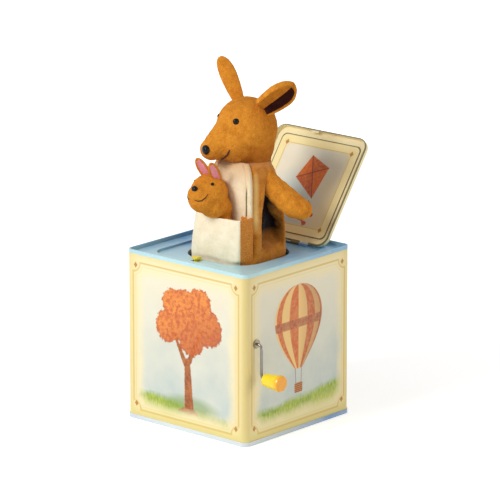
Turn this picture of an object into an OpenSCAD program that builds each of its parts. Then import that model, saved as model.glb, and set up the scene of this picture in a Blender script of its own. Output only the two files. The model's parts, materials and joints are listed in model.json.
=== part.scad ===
// Tin jack in the box: a plush kangaroo with a joey in her pouch stands on a coil spring in a square tin
// box. A hand crank turns a small music movement, whose trip cam throws the latch off, and the spring
// lifts the puppet and the lid. +Z is up, the latch is at the front (-Y), the crank on the right (+X) and
// the lid hinge at the back (+Y). The origin is the centre of the base rim, on the ground.

/* [Box] */
// Width and depth of the tin box over its walls
box_w = 143; // [137:1:170]
// Height of the box over its rolled top rim
box_h = 158; // [156:1:200]
// Outer radius of the upright corners
corner_r = 6; // [4:0.5:9]
// Thickness of every tin sheet
tin_t = 0.6; // [0.5:0.05:0.8]
// Height of the bottom rim that grips the walls
base_rim_h = 4; // [3.5:0.5:8]
// Width of the channel that the walls stand in
base_channel_w = 3; // [2:0.5:6]
// Height of the floor above the ground
floor_lift = 2.4; // [1.5:0.1:3]
// Diameter of the round foot pressed down to the ground under the spring
foot_d = 58; // [54:1:60]
// Width of the lock seam down the back wall
seam_w = 6; // [4:0.5:12]

/* [Top frame] */
// Width of the rolled top rim
rim_w = 1.5; // [1.3:0.1:2]
// Height of the rolled rim above the printed walls
rim_h = 3.4; // [1.2:0.1:5]
// Drop from the rim to the ledge
ledge_drop = 3.5; // [2.5:0.1:4.5]
// Width of the ledge round the lid recess
ledge_w = 14.5; // [12:0.5:16]
// Drop from the ledge to the lid seat
seat_drop = 2; // [1.6:0.1:4]
// Depth of the trough behind the recess that the lid's back edge swings into
trough = 5; // [4.8:0.1:8]
// Outer radius of the lid recess corners
recess_r = 12; // [8:0.5:16]
// Width of the square opening that the puppet passes
opening_w = 80; // [78:0.5:84]
// Corner radius of the opening
opening_r = 26; // [10:1:27]
// Depth of the opening's turned-down edge
flange_h = 4; // [2:0.5:6]

/* [Lid] */
// Clearance round the lid in its recess
lid_gap = 1.4; // [1:0.1:2.5]
// Height of the lid's skirt
lid_skirt_h = 5; // [4.5:0.1:5.3]
// Height of the folded hem on the skirt
hem_h = 1.6; // [1:0.1:2.2]
// Height that the closed lid stays above its seat
lid_lift = 0.5; // [0.4:0.1:1]
// Angle between the closed and the open lid
lid_open = 125.5; // [95:0.5:135]
// Outer diameter of the hinge knuckles
knuckle_d = 3; // [2.8:0.1:3]
// Distance of the hinge axis behind the lid's hem
hinge_gap = 1.1; // [1:0.05:1.3]
// Diameter of the hinge pin
hinge_pin_d = 1.6; // [1.2:0.1:2]
// Length of one hinge knuckle
knuckle_l = 10; // [6:0.5:14]
// Distance from the middle of the lid to the outer frame knuckles
knuckle_x = 30; // [27:0.5:36]
// Depth of the catch tab inside the front skirt
tab_l = 2; // [1.6:0.1:2.4]
// Bare border round the printed panel inside the lid
lid_border = 6; // [4:0.5:14]
// Thickness of the printed panel
card_t = 0.5; // [0.3:0.1:0.6]

/* [Latch] */
// Distance of the latch from the middle of the front
latch_x = 9; // [6:0.5:12]
// Width of the latch lever
latch_w = 6.5; // [6:0.5:10]
// Angle between the thrown and the holding latch
latch_swing = 8; // [7:0.5:9]
// Depth of the latch pivot below the lid seat
pivot_drop = 16.5; // [14:0.5:19]
// Diameter of the latch pivot pin
pivot_d = 2; // [1.5:0.1:2.5]
// Thickness of the latch bracket sheet
bracket_t = 1; // [0.6:0.1:1.5]

/* [Crank] */
// Distance of the crank axle from the front of the box
crank_in = 14; // [13.5:0.1:15]
// Height of the crank axle above the ground
crank_z = 93; // [80:1:95]
// Diameter of the crank wire
wire_d = 2.4; // [2:0.1:3.6]
// Distance of the crank arm from the wall
arm_out = 6.5; // [6:0.5:14]
// Length of the crank arm
arm_l = 31; // [24:0.5:45]
// Bend radius of the crank wire at its middle line
bend_r = 4; // [3:0.5:6]
// Length of the grip
grip_l = 20.5; // [20:0.5:36]
// Diameter of the grip at the crank arm
grip_d_in = 11.5; // [9:0.5:14]
// Diameter of the grip at its outer end
grip_d_out = 15; // [12:0.5:20]
// Diameter of the flanged wall bushing's flange
bushing_d = 8; // [8:0.5:12]

/* [Music movement] */
// Module of the two gears
gear_m = 0.6; // [0.55:0.01:0.62]
// Teeth of the pinion on the crank wire
pinion_teeth = 12; // [12:4:12]
// Teeth of the drum gear
gear_teeth = 36; // [36:12:36]
// Width of the gears
gear_w = 5; // [3:0.5:6]
// Play between two meshed teeth
backlash = 0.2; // [0.15:0.01:0.3]
// Diameter of the pinned drum
drum_d = 13; // [10:0.5:14]
// Length of the pinned drum
drum_l = 27; // [20:1:28]
// Height of the tune pins on the drum
pin_h = 0.4; // [0.3:0.05:0.6]
// Diameter of the drum shaft
drum_shaft_d = 2; // [1.5:0.1:2.4]
// Thickness of the movement frame sheet
frame_t = 1.2; // [1:0.1:1.5]
// Number of comb teeth
comb_teeth = 14; // [8:1:16]
// Thickness of the comb
comb_t = 0.8; // [0.6:0.1:1]
// Length of the comb teeth
comb_tooth_l = 9; // [7:0.5:10]
// Radius of the trip cam's lobe
lobe_r = 7; // [6:0.1:7.1]
// Thread diameter of the small screws
screw_d = 2.5; // [2:0.1:3]

/* [Puppet] */
// Travel of the puppet from standing up to pressed down
pop_travel = 172; // [170:1:174]
// Height of the puppet's neck above the box rim
neck_rise = 67.5; // [64:0.5:80]
// Distance of the spring axis behind the middle of the box
spring_y = 9; // [7:0.5:11]
// Outer diameter of the main spring
spring_d = 37; // [30:0.5:38]
// Diameter of the spring wire
spring_wire = 1.6; // [1.2:0.1:2]
// Turns of the main spring
spring_turns = 11; // [7:1:14]
// Width and depth of the cloth body at the opening
cloth_w = 68; // [64:1:72]
// Thickness of the cloth
cloth_t = 1.5; // [1:0.1:2]
// Distance of the pouch pocket inside the sides of the cloth body
pouch_in = 0.5; // [0.2:0.1:8]
// Depth of the pouch pocket in front of the belly
pouch_d = 19.5; // [17:0.5:20]
// Height of the pouch above the lid seat
pouch_h = 39.5; // [34:0.5:48]
// Radius of the skull
skull_r = 28; // [24:0.5:28]
// Distance from the skull's centre to the middle of the muzzle
muzzle_l = 36; // [30:0.5:37]
// Radius of the muzzle
muzzle_r = 11; // [9:0.5:12]
// Angle that the head turns to its right
head_turn = 14; // [0:1:20]
// Thickness of an ear
ear_t = 3.5; // [2.5:0.1:5]
// Length of the ear that stands up
ear_up_l = 38; // [28:1:42]
// Length of the ear that leans out
ear_out_l = 31; // [24:1:36]
// Radius of the joey's head
joey_r = 17; // [13:0.5:17]
// Radius of the padded arms
arm_r = 9.5; // [8:0.5:10]
// Radius of the bead eyes
eye_r = 2.4; // [1.8:0.1:3]
// Radius of the bead nose
nose_r = 3.2; // [2.4:0.1:4]
// Angle that the joey's head turns to its right
joey_turn = 2; // [0:1:15]
// Length of a joey's ear
joey_ear_l = 19; // [12:0.5:20]

/* [Hidden] */

$fn = 64;
hull_fn = 32;        // facets round the balls inside a hull
eps = 0.01;          // overlap of two shapes joined in one piece
cut = 1;             // extra length of a cutting shape
soft_gap = 0.3;      // room between soft pieces
press_gap = 0.02;    // radial room of a fixed pin
run_gap = 0.05;      // radial room of a turning pin

half = box_w / 2;
wall_top = box_h - rim_h;
ledge_z = box_h - ledge_drop;
seat_z = ledge_z - seat_drop;
recess_half = half - rim_w - ledge_w;
floor_z = floor_lift + tin_t;
wall_in = half - tin_t;

lid_half = recess_half - lid_gap;               // over the hem
lid_r = recess_r - lid_gap;
skirt_half = lid_half - tin_t;                  // over the plain skirt
lid_z0 = seat_z + lid_lift;
lid_z1 = lid_z0 + lid_skirt_h;
hinge_y = lid_half + hinge_gap;
hinge_z = seat_z + knuckle_d / 2 + 0.2;
trough_half = lid_half - 1;
pin_reach = knuckle_x + knuckle_l / 2 + 0.8;
panel_half = skirt_half - tin_t - lid_border;

pivot_y = 1 - (recess_half + opening_w / 2) / 2;
pivot_z = seat_z - pivot_drop;
nose_z = lid_z0 + tin_t + 0.4;                  // underside of the latch nose over the catch tab
nose_h = lid_z1 - tin_t - card_t - nose_z - 0.5;
stem_t = 2;
stem_y = pivot_y - 0.2;                         // middle of the stem
tab_y = -skirt_half + tin_t;                    // inner face of the front skirt

crank_y = -half + crank_in;
arm_x = half + arm_out;
grip_x = arm_x + wire_d / 2 + bend_r - 1.5;
grip_z = crank_z - arm_l;
gear_gap = gear_m * (pinion_teeth + gear_teeth) / 2;
drum_z = crank_z + gear_gap;
frame_y = -wall_in + 0.4;                       // back of the movement frame's web
cheek_y = crank_y + 12.5;
cheek_z0 = crank_z - 7;
cheek_z1 = drum_z + 12.6;
drum_x = 4;
gear_x = drum_x + drum_l + 5;
frame_x0 = -latch_x - latch_w / 2 - 3.75;
frame_x1 = gear_x + gear_w + 3.8 + frame_t;
comb_tip_z = drum_z + drum_d / 2 + pin_h + 0.15;
comb_block_z = comb_tip_z + comb_tooth_l;
comb_block_h = 8;
comb_y = crank_y;
cam_x = -latch_x - 2;
cam_w = 4;
foot_l = 16;
leg_x0 = 2;
leg_w = 34;

coil_r = spring_d / 2 - spring_wire / 2;
seat_flange = 2;
neck_z = box_h + neck_rise;                     // top of the spring disc's underside
top_disc_t = 3;
seat_z0 = tin_t + eps;                            // underside of the spring seat in the pressed foot
boss_h = 11;
spring_z0 = seat_z0 + seat_flange + spring_wire / 2 + 0.05;
spring_z1 = neck_z - spring_wire / 2 - 0.05;

cloth_r = 20;
pouch_w = cloth_w - 2 * pouch_in;
belly_y = -cloth_w / 2 + pouch_d + soft_gap;    // front of the body above the opening
pouch_z0 = seat_z - 1.5;
pouch_z1 = seat_z + pouch_h;
shoulder_z = neck_z - 4;
cloth_top = neck_z + top_disc_t + 4.5;
skull = [0, spring_y + 1, neck_z + 1.5 * skull_r];
face_dir = [-sin(head_turn), -cos(head_turn), 0];
side_dir = [cos(head_turn), -sin(head_turn), 0];
muzzle = skull + muzzle_l * face_dir + [0, 0, -0.715 * skull_r];
joey_c = [-0.12 * cloth_w, -cloth_w / 2 - 2, pouch_z1 + joey_r + 4];
joey_dir = [-sin(joey_turn), -cos(joey_turn), 0];
joey_side = [cos(joey_turn), -sin(joey_turn), 0];

// A rounded square outline made of straight sides and round corners
module rounded_square(w, d, r) {
    square([w - 2 * r, d], center = true);
    square([w, d - 2 * r], center = true);
    for (x = [-1, 1], y = [-1, 1])
        translate([x * (w / 2 - r), y * (d / 2 - r)]) circle(r);
}

// A square tube with rounded corners, from z0 to z1
module square_ring(z0, z1, outer, r_out, inner, r_in) {
    translate([0, 0, z0]) difference() {
        linear_extrude(z1 - z0) rounded_square(2 * outer, 2 * outer, r_out);
        translate([0, 0, -cut]) linear_extrude(z1 - z0 + 2 * cut)
            rounded_square(2 * inner, 2 * inner, r_in);
    }
}

module x_rod(d, x0, x1, y, z) {
    translate([x0, y, z]) rotate([0, 90, 0]) cylinder(d = d, h = x1 - x0);
}

// Moves a shape from the closed lid to the open lid
module on_open_lid() {
    translate([0, hinge_y, hinge_z]) rotate([-lid_open, 0, 0])
        translate([0, -hinge_y, -hinge_z]) children();
}

// Gear teeth with straight flanks; the first tooth points along +Y
function gear_points(n) =
    let (rp = gear_m * n / 2, rr = rp - 1.25 * gear_m, rt = rp + 0.95 * gear_m,
         ap = (PI * gear_m / 2 - backlash) / (2 * rp) * 180 / PI,
         ar = ap + (rp - rr) * 0.36 / rr * 180 / PI,
         at = ap - (rt - rp) * 0.36 / rt * 180 / PI)
    [for (i = [0 : n - 1], p = [[rr, -ar], [rt, -at], [rt, at], [rr, ar]])
        let (a = 90 + i * 360 / n + p[1]) p[0] * [cos(a), sin(a)]];

// ---- Box ----

module side_walls() {
    color([0.96, 0.90, 0.68]) difference() {
        union() {
            square_ring(tin_t + 0.05, wall_top, half, corner_r, wall_in, corner_r - tin_t);
            translate([-half + corner_r + 2, half - eps, base_rim_h + 0.5])
                cube([seam_w, tin_t + eps, wall_top - base_rim_h - 0.5]);
        }
        x_rod(bushing_d - 3, half - 3, half + 3, crank_y, crank_z);
    }
}

module bottom_tray() {
    inner = wall_in - base_channel_w;
    color([0.72, 0.80, 0.86]) difference() {
        union() {
            square_ring(0, base_rim_h, half + tin_t + 0.05, corner_r + tin_t, half + 0.05, corner_r);
            square_ring(0, tin_t, half + tin_t + 0.05, corner_r + tin_t, inner, corner_r - 2);
            square_ring(0, floor_z, inner + tin_t, corner_r - 2 + tin_t, inner, corner_r - 2);
            translate([0, 0, floor_lift]) linear_extrude(tin_t)
                rounded_square(2 * inner + tin_t, 2 * inner + tin_t, corner_r - 2);
            translate([0, spring_y, 0]) cylinder(d = foot_d, h = floor_z);
        }
        for (p = frame_screw_places()) translate([p[0], p[1], 0]) cylinder(d = screw_d + 0.2, h = 8);
        translate([0, spring_y, tin_t]) cylinder(d = foot_d - 2 * tin_t, h = floor_lift + cut);
        for (p = seat_screw_places()) translate([p[0], p[1], -cut]) cylinder(d = screw_d + 0.2, h = 8);
    }
}

module top_frame() {
    in_w = half - rim_w;
    open_half = opening_w / 2;
    color([0.60, 0.76, 0.85]) difference() {
        union() {
            square_ring(wall_top + eps, box_h, half, corner_r, in_w, corner_r - rim_w);
            square_ring(ledge_z - tin_t, box_h, in_w + tin_t, corner_r - rim_w + tin_t,
                in_w, corner_r - rim_w);
            difference() {
                union() {
                    translate([0, 0, ledge_z - tin_t]) linear_extrude(tin_t)
                        rounded_square(2 * (in_w + tin_t), 2 * (in_w + tin_t), corner_r - rim_w + tin_t);
                    recess(seat_z - tin_t, ledge_z, tin_t);
                }
                recess(seat_z, ledge_z + cut, 0);
                translate([0, 0, seat_z - tin_t - cut]) linear_extrude(seat_drop + 2 * cut)
                    rounded_square(opening_w, opening_w, opening_r);
            }
            square_ring(seat_z - flange_h, seat_z, open_half + tin_t, opening_r + tin_t,
                open_half, opening_r);
            for (x = [-knuckle_x, 0, knuckle_x]) frame_knuckle(x);
        }
        x_rod(hinge_pin_d + 2 * press_gap, -pin_reach - 1, pin_reach + 1, hinge_y, hinge_z);
        translate([-latch_x - latch_w / 2 - 0.5, -recess_half + 2.6, seat_z - 2])
            cube([latch_w + 1, recess_half - open_half - 2.6 - tin_t - 0.7, 4]);
    }
}

// The space of the lid recess with the trough behind it, larger by grow
module recess(z0, z1, grow) {
    side = recess_half + grow;
    translate([0, 0, z0]) linear_extrude(z1 - z0) rounded_square(2 * side, 2 * side, recess_r + grow);
    translate([-trough_half - grow, 0, z0]) cube([2 * (trough_half + grow), side + trough, z1 - z0]);
}

module frame_knuckle(x) {
    x_rod(knuckle_d, x - knuckle_l / 2, x + knuckle_l / 2, hinge_y, hinge_z);
    translate([x - knuckle_l / 2, hinge_y - knuckle_d / 3, seat_z - tin_t / 2])
        cube([knuckle_l, knuckle_d * 2 / 3, hinge_z - seat_z + tin_t / 2]);
}

module hinge_pin() {
    color("silver") x_rod(hinge_pin_d, -pin_reach, pin_reach, hinge_y, hinge_z);
}

module wall_bushing() {
    color([0.78, 0.66, 0.38]) difference() {
        union() {
            x_rod(bushing_d - 3 - 2 * press_gap, half - 5, half + eps, crank_y, crank_z);
            x_rod(bushing_d, half, half + 1.2, crank_y, crank_z);
        }
        x_rod(wire_d + 2 * run_gap, half - 6, half + 2, crank_y, crank_z);
    }
}

// ---- Music movement ----

function frame_screw_places() = [for (x = [leg_x0 + 6, leg_x0 + leg_w - 6]) [x, frame_y + foot_l - 5]];
function comb_screw_places() = [for (x = [drum_x + 5, drum_x + drum_l - 5])
    [x, comb_block_z + comb_block_h / 2]];
function seat_screw_places() = [for (x = [-1, 1]) [x * (spring_d / 2 - 9), spring_y]];

module movement_frame() {
    web_top = comb_block_z + comb_block_h;
    color([0.70, 0.71, 0.73]) difference() {
        union() {
            translate([frame_x0, frame_y, cheek_z0]) cube([frame_x1 - frame_x0, frame_t, web_top - cheek_z0]);
            translate([leg_x0, frame_y, floor_z]) cube([leg_w, frame_t, cheek_z0 - floor_z + eps]);
            translate([leg_x0, frame_y, floor_z]) cube([leg_w, foot_l, frame_t]);
            for (x = [frame_x0, frame_x1 - frame_t])
                translate([x, frame_y, cheek_z0]) cube([frame_t, cheek_y - frame_y, cheek_z1 - cheek_z0]);
            translate([drum_x, frame_y + frame_t - eps, comb_block_z])
                cube([drum_l, comb_y - frame_y - frame_t + eps, comb_block_h]);
        }
        translate([-latch_x - latch_w / 2 - 1, frame_y - cut, drum_z - drum_d / 2])
            cube([latch_w + 2, frame_t + 2 * cut, web_top]);
        x_rod(wire_d + 2 * run_gap, frame_x0 - cut, frame_x1 + cut, crank_y, crank_z);
        x_rod(drum_shaft_d + 2 * run_gap, frame_x0 - cut, frame_x1 + cut, crank_y, drum_z);
        for (p = frame_screw_places())
            translate([p[0], p[1], floor_z - cut])
                cylinder(d = screw_d + 2 * press_gap, h = frame_t + 2 * cut);
        for (p = comb_screw_places())
            translate([p[0], comb_y + cut, p[1]]) rotate([90, 0, 0])
                cylinder(d = screw_d + 2 * press_gap, h = 7 + cut);
    }
}

// A pan-head screw whose thread runs along +Z from under its head
module screw(shank) {
    difference() {
        union() {
            translate([0, 0, -screw_d * 0.6]) cylinder(d = screw_d * 1.9, h = screw_d * 0.6);
            translate([0, 0, -eps]) cylinder(d = screw_d, h = shank + eps);
        }
        translate([-screw_d, -0.3, -screw_d * 0.6 - 1]) cube([2 * screw_d, 0.6, 1.6]);
    }
}

module frame_screws() {
    color("silver") for (p = frame_screw_places())
        translate([p[0], p[1], floor_lift]) screw(tin_t + frame_t + 0.8);
}

module comb() {
    pitch = (drum_l - 3) / comb_teeth;
    color([0.80, 0.81, 0.84]) difference() {
        translate([drum_x + 0.5, comb_y + 0.02, comb_tip_z])
            cube([drum_l - 1, comb_t, comb_tooth_l + comb_block_h]);
        for (i = [1 : comb_teeth - 1])
            translate([drum_x + 1.5 + i * pitch - 0.2, comb_y - cut, comb_tip_z - cut])
                cube([0.4, comb_t + 2 * cut, comb_tooth_l + cut]);
        for (p = comb_screw_places()) translate([p[0], comb_y + 3, p[1]]) rotate([90, 0, 0])
            cylinder(d = screw_d + 0.2, h = 6);
    }
}

module comb_screws() {
    color("silver") for (p = comb_screw_places())
        translate([p[0], comb_y + 0.02 + comb_t, p[1]]) rotate([90, 0, 0]) screw(comb_t + 5);
}

module crank_wire() {
    straight_x = arm_x - bend_r;
    low_z = grip_z + bend_r;
    color([0.82, 0.83, 0.85]) {
        x_rod(wire_d, frame_x0 - 0.8, straight_x + eps, crank_y, crank_z);
        translate([straight_x, crank_y, crank_z - bend_r]) rotate([90, 0, 0])
            rotate_extrude(angle = 90) translate([bend_r, 0]) circle(d = wire_d);
        translate([arm_x, crank_y, low_z - eps]) cylinder(d = wire_d, h = arm_l - 2 * bend_r + 2 * eps);
        translate([arm_x + bend_r, crank_y, low_z]) rotate([90, 0, 0]) rotate([0, 0, 180])
            rotate_extrude(angle = 90) translate([bend_r, 0]) circle(d = wire_d);
        x_rod(wire_d, arm_x + bend_r - eps, grip_x + grip_l - 4, crank_y, grip_z);
    }
}

module crank_grip() {
    ri = grip_d_in / 2;
    ro = grip_d_out / 2;
    color([0.96, 0.80, 0.08]) translate([grip_x, crank_y, grip_z]) rotate([0, 90, 0])
        difference() {
            rotate_extrude() polygon([[0, 0], [ri - 1.2, 0], [ri - 0.4, 0.4], [ri, 1.4], [ro, grip_l - 2.2],
                [ro - 0.3, grip_l - 0.9], [ro - 1.3, grip_l], [0, grip_l]]);
            translate([0, 0, -cut]) cylinder(d = wire_d + 2 * run_gap, h = grip_l - 3.6 + cut);
        }
}

module pinion() {
    color([0.80, 0.68, 0.35]) translate([gear_x, crank_y, crank_z]) rotate([90, 0, 90]) difference() {
        linear_extrude(gear_w) polygon(gear_points(pinion_teeth));
        translate([0, 0, -cut]) cylinder(d = wire_d + 2 * press_gap, h = gear_w + 2 * cut);
    }
}

module crank_collar() {
    color([0.80, 0.68, 0.35]) difference() {
        x_rod(wire_d + 4, frame_x1 + 0.15, frame_x1 + 3, crank_y, crank_z);
        x_rod(wire_d + 2 * press_gap, frame_x1, frame_x1 + 4, crank_y, crank_z);
    }
}

module drum_shaft() {
    color("silver") x_rod(drum_shaft_d, frame_x0 - 0.8, frame_x1 + 0.8, crank_y, drum_z);
}

module drum() {
    rows = comb_teeth;
    pitch = (drum_l - 3) / comb_teeth;
    color([0.83, 0.70, 0.36]) difference() {
        union() {
            x_rod(drum_d, drum_x, drum_x + drum_l, crank_y, drum_z);
            for (i = [0 : 2 * rows - 1])
                translate([drum_x + 1.5 + (i % rows + 0.5) * pitch, crank_y, drum_z])
                    rotate([(i * 97 + 20) % 360, 0, 0]) cylinder(d = 0.6, h = drum_d / 2 + pin_h, $fn = 16);
        }
        x_rod(drum_shaft_d + 2 * press_gap, drum_x - cut, drum_x + drum_l + cut, crank_y, drum_z);
    }
}

module drum_gear() {
    color([0.86, 0.74, 0.42]) translate([gear_x, crank_y, drum_z]) rotate([90, 0, 90]) difference() {
        linear_extrude(gear_w) rotate(180 / gear_teeth) polygon(gear_points(gear_teeth));
        translate([0, 0, -cut]) cylinder(d = drum_shaft_d + 2 * press_gap, h = gear_w + 2 * cut);
    }
}

// The lobe stands at the back, half a turn past the latch lever that it has just thrown off
module trip_cam() {
    base_r = 3.3;
    tip_r = 1.2;
    color([0.93, 0.92, 0.88]) translate([cam_x, crank_y, drum_z]) rotate([90, 0, 90]) difference() {
        union() {
            cylinder(r = base_r, h = cam_w);
            linear_extrude(cam_w) polygon([[0.5, base_r - 0.3], [lobe_r - tip_r, tip_r - 0.05],
                [lobe_r - tip_r, 0.05 - tip_r], [0.5, 0.3 - base_r]]);
            translate([lobe_r - tip_r, 0, 0]) cylinder(r = tip_r, h = cam_w);
        }
        translate([0, 0, -cut]) cylinder(d = drum_shaft_d + 2 * press_gap, h = cam_w + 2 * cut);
    }
}

// ---- Latch ----

module latch_bracket() {
    ear_x = latch_w / 2 + 0.8;
    front = -recess_half + 1.2;
    back = -opening_w / 2 - tin_t - 0.4;
    low = pivot_z - 4;
    color([0.72, 0.73, 0.75]) difference() {
        union() {
            for (x = [-latch_x - ear_x - bracket_t, -latch_x + ear_x])
                translate([x, front, low]) cube([bracket_t, back - front, seat_z - tin_t - low]);
            translate([-latch_x - ear_x - bracket_t, front, pivot_z + 3])
                cube([2 * (ear_x + bracket_t), bracket_t, seat_z - tin_t - pivot_z - 3]);
        }
        x_rod(pivot_d + 2 * press_gap, -latch_x - 12, -latch_x + 12, pivot_y, pivot_z);
    }
}

module latch_pin() {
    reach = latch_w / 2 + 0.8 + bracket_t + 0.6;
    color("silver") x_rod(pivot_d, -latch_x - reach, -latch_x + reach, pivot_y, pivot_z);
}

// The lever is drawn where it holds the lid and turned back to where the cam has thrown it
module latch_lever() {
    top = nose_z + nose_h;
    tip_y = crank_y - 3.6;
    color([0.97, 0.84, 0.10])
    translate([-latch_x - latch_w / 2, pivot_y, pivot_z]) rotate([-latch_swing, 0, 0])
    translate([0, -pivot_y, -pivot_z]) rotate([90, 0, 90]) difference() {
        union() {
            translate([pivot_y, pivot_z, 0]) cylinder(r = 3.2, h = latch_w);
            linear_extrude(latch_w) polygon([[stem_y - stem_t / 2, pivot_z], [stem_y + stem_t / 2, pivot_z],
                [stem_y + stem_t / 2, top - 0.8], [stem_y + stem_t / 2 - 0.8, top],
                [stem_y - stem_t / 2 - 0.8, top], [tab_y + 0.35, nose_z + 1.1], [tab_y + 0.35, nose_z],
                [stem_y - stem_t / 2, nose_z]]);
            linear_extrude(latch_w) polygon([[pivot_y - 2.6, pivot_z - 1], [pivot_y, pivot_z - 2.8],
                [tip_y, drum_z + 6.6], [tip_y, drum_z - 2.4],
                [tip_y - 2.5, drum_z - 2.4], [tip_y - 2.5, drum_z + 7.6]]);
        }
        translate([pivot_y, pivot_z, -cut]) cylinder(d = pivot_d + 2 * run_gap, h = latch_w + 2 * cut);
    }
}

// ---- Lid ----

module lid_shell() {
    top_t = tin_t;
    color([0.95, 0.90, 0.74]) on_open_lid() difference() {
        union() {
            square_ring(lid_z0, lid_z1, skirt_half, lid_r - tin_t, skirt_half - tin_t, lid_r - 2 * tin_t);
            square_ring(lid_z0, lid_z0 + hem_h, lid_half, lid_r, skirt_half - tin_t, lid_r - 2 * tin_t);
            translate([0, 0, lid_z1 - top_t]) linear_extrude(top_t)
                rounded_square(2 * skirt_half, 2 * skirt_half, lid_r - tin_t);
            translate([-latch_x - latch_w / 2 - 1, tab_y - eps, lid_z0])
                cube([latch_w + 2, tab_l + eps, tin_t]);
            for (x = [-knuckle_x + knuckle_l, knuckle_x - knuckle_l]) lid_knuckle(x);
        }
        x_rod(hinge_pin_d + 2 * run_gap, -pin_reach - 1, pin_reach + 1, hinge_y, hinge_z);
        for (x = [-knuckle_x, 0, knuckle_x])
            translate([x - knuckle_l / 2 - 0.4, skirt_half - tin_t - 0.5, lid_z0 - cut])
                cube([knuckle_l + 0.8, 3 + hinge_gap, hinge_z + 2.6 - lid_z0 + cut]);
    }
}

module lid_knuckle(x) {
    width = knuckle_l - 0.4;
    x_rod(knuckle_d, x - width / 2, x + width / 2, hinge_y, hinge_z);
}

module lid_panel() {
    color([0.80, 0.84, 0.82]) on_open_lid() translate([0, 0, lid_z1 - tin_t - card_t - eps])
        linear_extrude(card_t) rounded_square(2 * panel_half, 2 * panel_half, 5);
}

// ---- Spring ----

module spring_seat() {
    color([0.85, 0.76, 0.58]) difference() {
        translate([0, spring_y, seat_z0]) union() {
            cylinder(d = spring_d + 8, h = seat_flange);
            cylinder(r = coil_r - spring_wire / 2 - 0.6, h = boss_h);
        }
        for (p = seat_screw_places()) translate([p[0], p[1], -cut])
            cylinder(d = screw_d + 2 * press_gap, h = boss_h + 2 + 2 * cut);
    }
}

module seat_screws() {
    color("silver") for (p = seat_screw_places())
        translate([p[0], p[1], seat_z0 + boss_h]) rotate([180, 0, 0]) screw(boss_h + seat_z0 - 0.1);
}

module hem_ring() {
    outer = cloth_w / 2 - cloth_t - soft_gap;
    color("silver") translate([0, 0, eps])
        square_ring(floor_z, floor_z + 4 * cloth_t, outer, cloth_r - cloth_t,
            outer - 0.8 * cloth_t, cloth_r - 1.8 * cloth_t);
}

// The first and last three quarters of a turn lie flat
function coil_z(turn) = spring_z0 + (spring_z1 - spring_z0)
    * min(1, max(0, (turn - 0.75) / (spring_turns - 1.5)));

module main_spring() {
    steps = 20;
    sides = 8;
    rings = spring_turns * steps;
    points = [for (i = [0 : rings], k = [0 : sides - 1])
        let (a = i * 360 / steps, b = k * 360 / sides, r = coil_r + spring_wire / 2 * cos(b))
        [r * cos(a), spring_y + r * sin(a), coil_z(i / steps) + spring_wire / 2 * sin(b)]];
    color([0.75, 0.76, 0.78]) polyhedron(points = points, faces = concat(
        [[for (k = [0 : sides - 1]) k]],
        [[for (k = [sides - 1 : -1 : 0]) rings * sides + k]],
        [for (i = [0 : rings - 1], k = [0 : sides - 1])
            [i * sides + (k + 1) % sides, i * sides + k,
             (i + 1) * sides + k, (i + 1) * sides + (k + 1) % sides]]));
}

module spring_top() {
    color([0.85, 0.76, 0.58]) translate([0, spring_y, 0]) {
        translate([0, 0, neck_z]) cylinder(d = spring_d + 2, h = top_disc_t);
        translate([0, 0, neck_z - 6]) cylinder(r = coil_r - spring_wire / 2 - 0.6, h = 6 + eps);
    }
}

// ---- Kangaroo ----

// A thin slice of the cloth body at one height, as wide as w, from y0 to y1
module body_slice(z, w, y0, y1, r, grow) {
    translate([0, (y0 + y1) / 2, z]) linear_extrude(1)
        rounded_square(w + 2 * grow, y1 - y0 + 2 * grow, r + grow);
}

module body_taper(grow) {
    back = cloth_w / 2;
    hull($fn = hull_fn) {
        body_slice(pouch_z0, cloth_w, belly_y, back, 8, grow);
        body_slice(pouch_z1 - 1, cloth_w - 6, belly_y, back - 1, 9, grow);
    }
    hull($fn = hull_fn) {
        body_slice(pouch_z1 - 1, cloth_w - 6, belly_y, back - 1, 9, grow);
        body_slice(shoulder_z - 1, cloth_w - 14, belly_y, back - 4, 10, grow);
    }
    hull($fn = hull_fn) {
        body_slice(shoulder_z - 1, cloth_w - 14, belly_y, back - 4, 10, grow);
        body_slice(cloth_top - 1, cloth_w - 22, belly_y + 2, back - 6, 12, grow);
    }
}

module body_cloth() {
    low_top = pouch_z0 - soft_gap;
    color([0.80, 0.52, 0.20]) difference() {
        union() {
            translate([0, 0, floor_z + soft_gap]) linear_extrude(low_top - floor_z - soft_gap)
                rounded_square(cloth_w, cloth_w, cloth_r);
            translate([0, (belly_y + cloth_w / 2) / 2, low_top - 1]) linear_extrude(2)
                rounded_square(cloth_w - 2, cloth_w / 2 - belly_y - 2, 8);
            body_taper(0);
        }
        translate([0, 0, floor_z]) linear_extrude(low_top - cloth_t - floor_z)
            rounded_square(cloth_w - 2 * cloth_t, cloth_w - 2 * cloth_t, cloth_r - cloth_t);
        intersection() {
            body_taper(-cloth_t);
            translate([0, 0, pouch_z0 + 1]) linear_extrude(shoulder_z + 2 - pouch_z0)
                square(2 * cloth_w, center = true);
        }
        translate([0, spring_y, low_top - 2 * cloth_t]) cylinder(d = spring_d + 4, h = 8);
        translate([0, spring_y, neck_z - 6]) cylinder(d = spring_d + 2 + 2 * soft_gap, h = 40);
    }
}

module bib() {
    color([0.99, 0.94, 0.84]) translate([0, belly_y - soft_gap - 1.2, pouch_z1 - 8])
        translate([-0.34 * cloth_w, 0, 0]) cube([0.68 * cloth_w, 1.2, shoulder_z - pouch_z1 + 6]);
}

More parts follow.
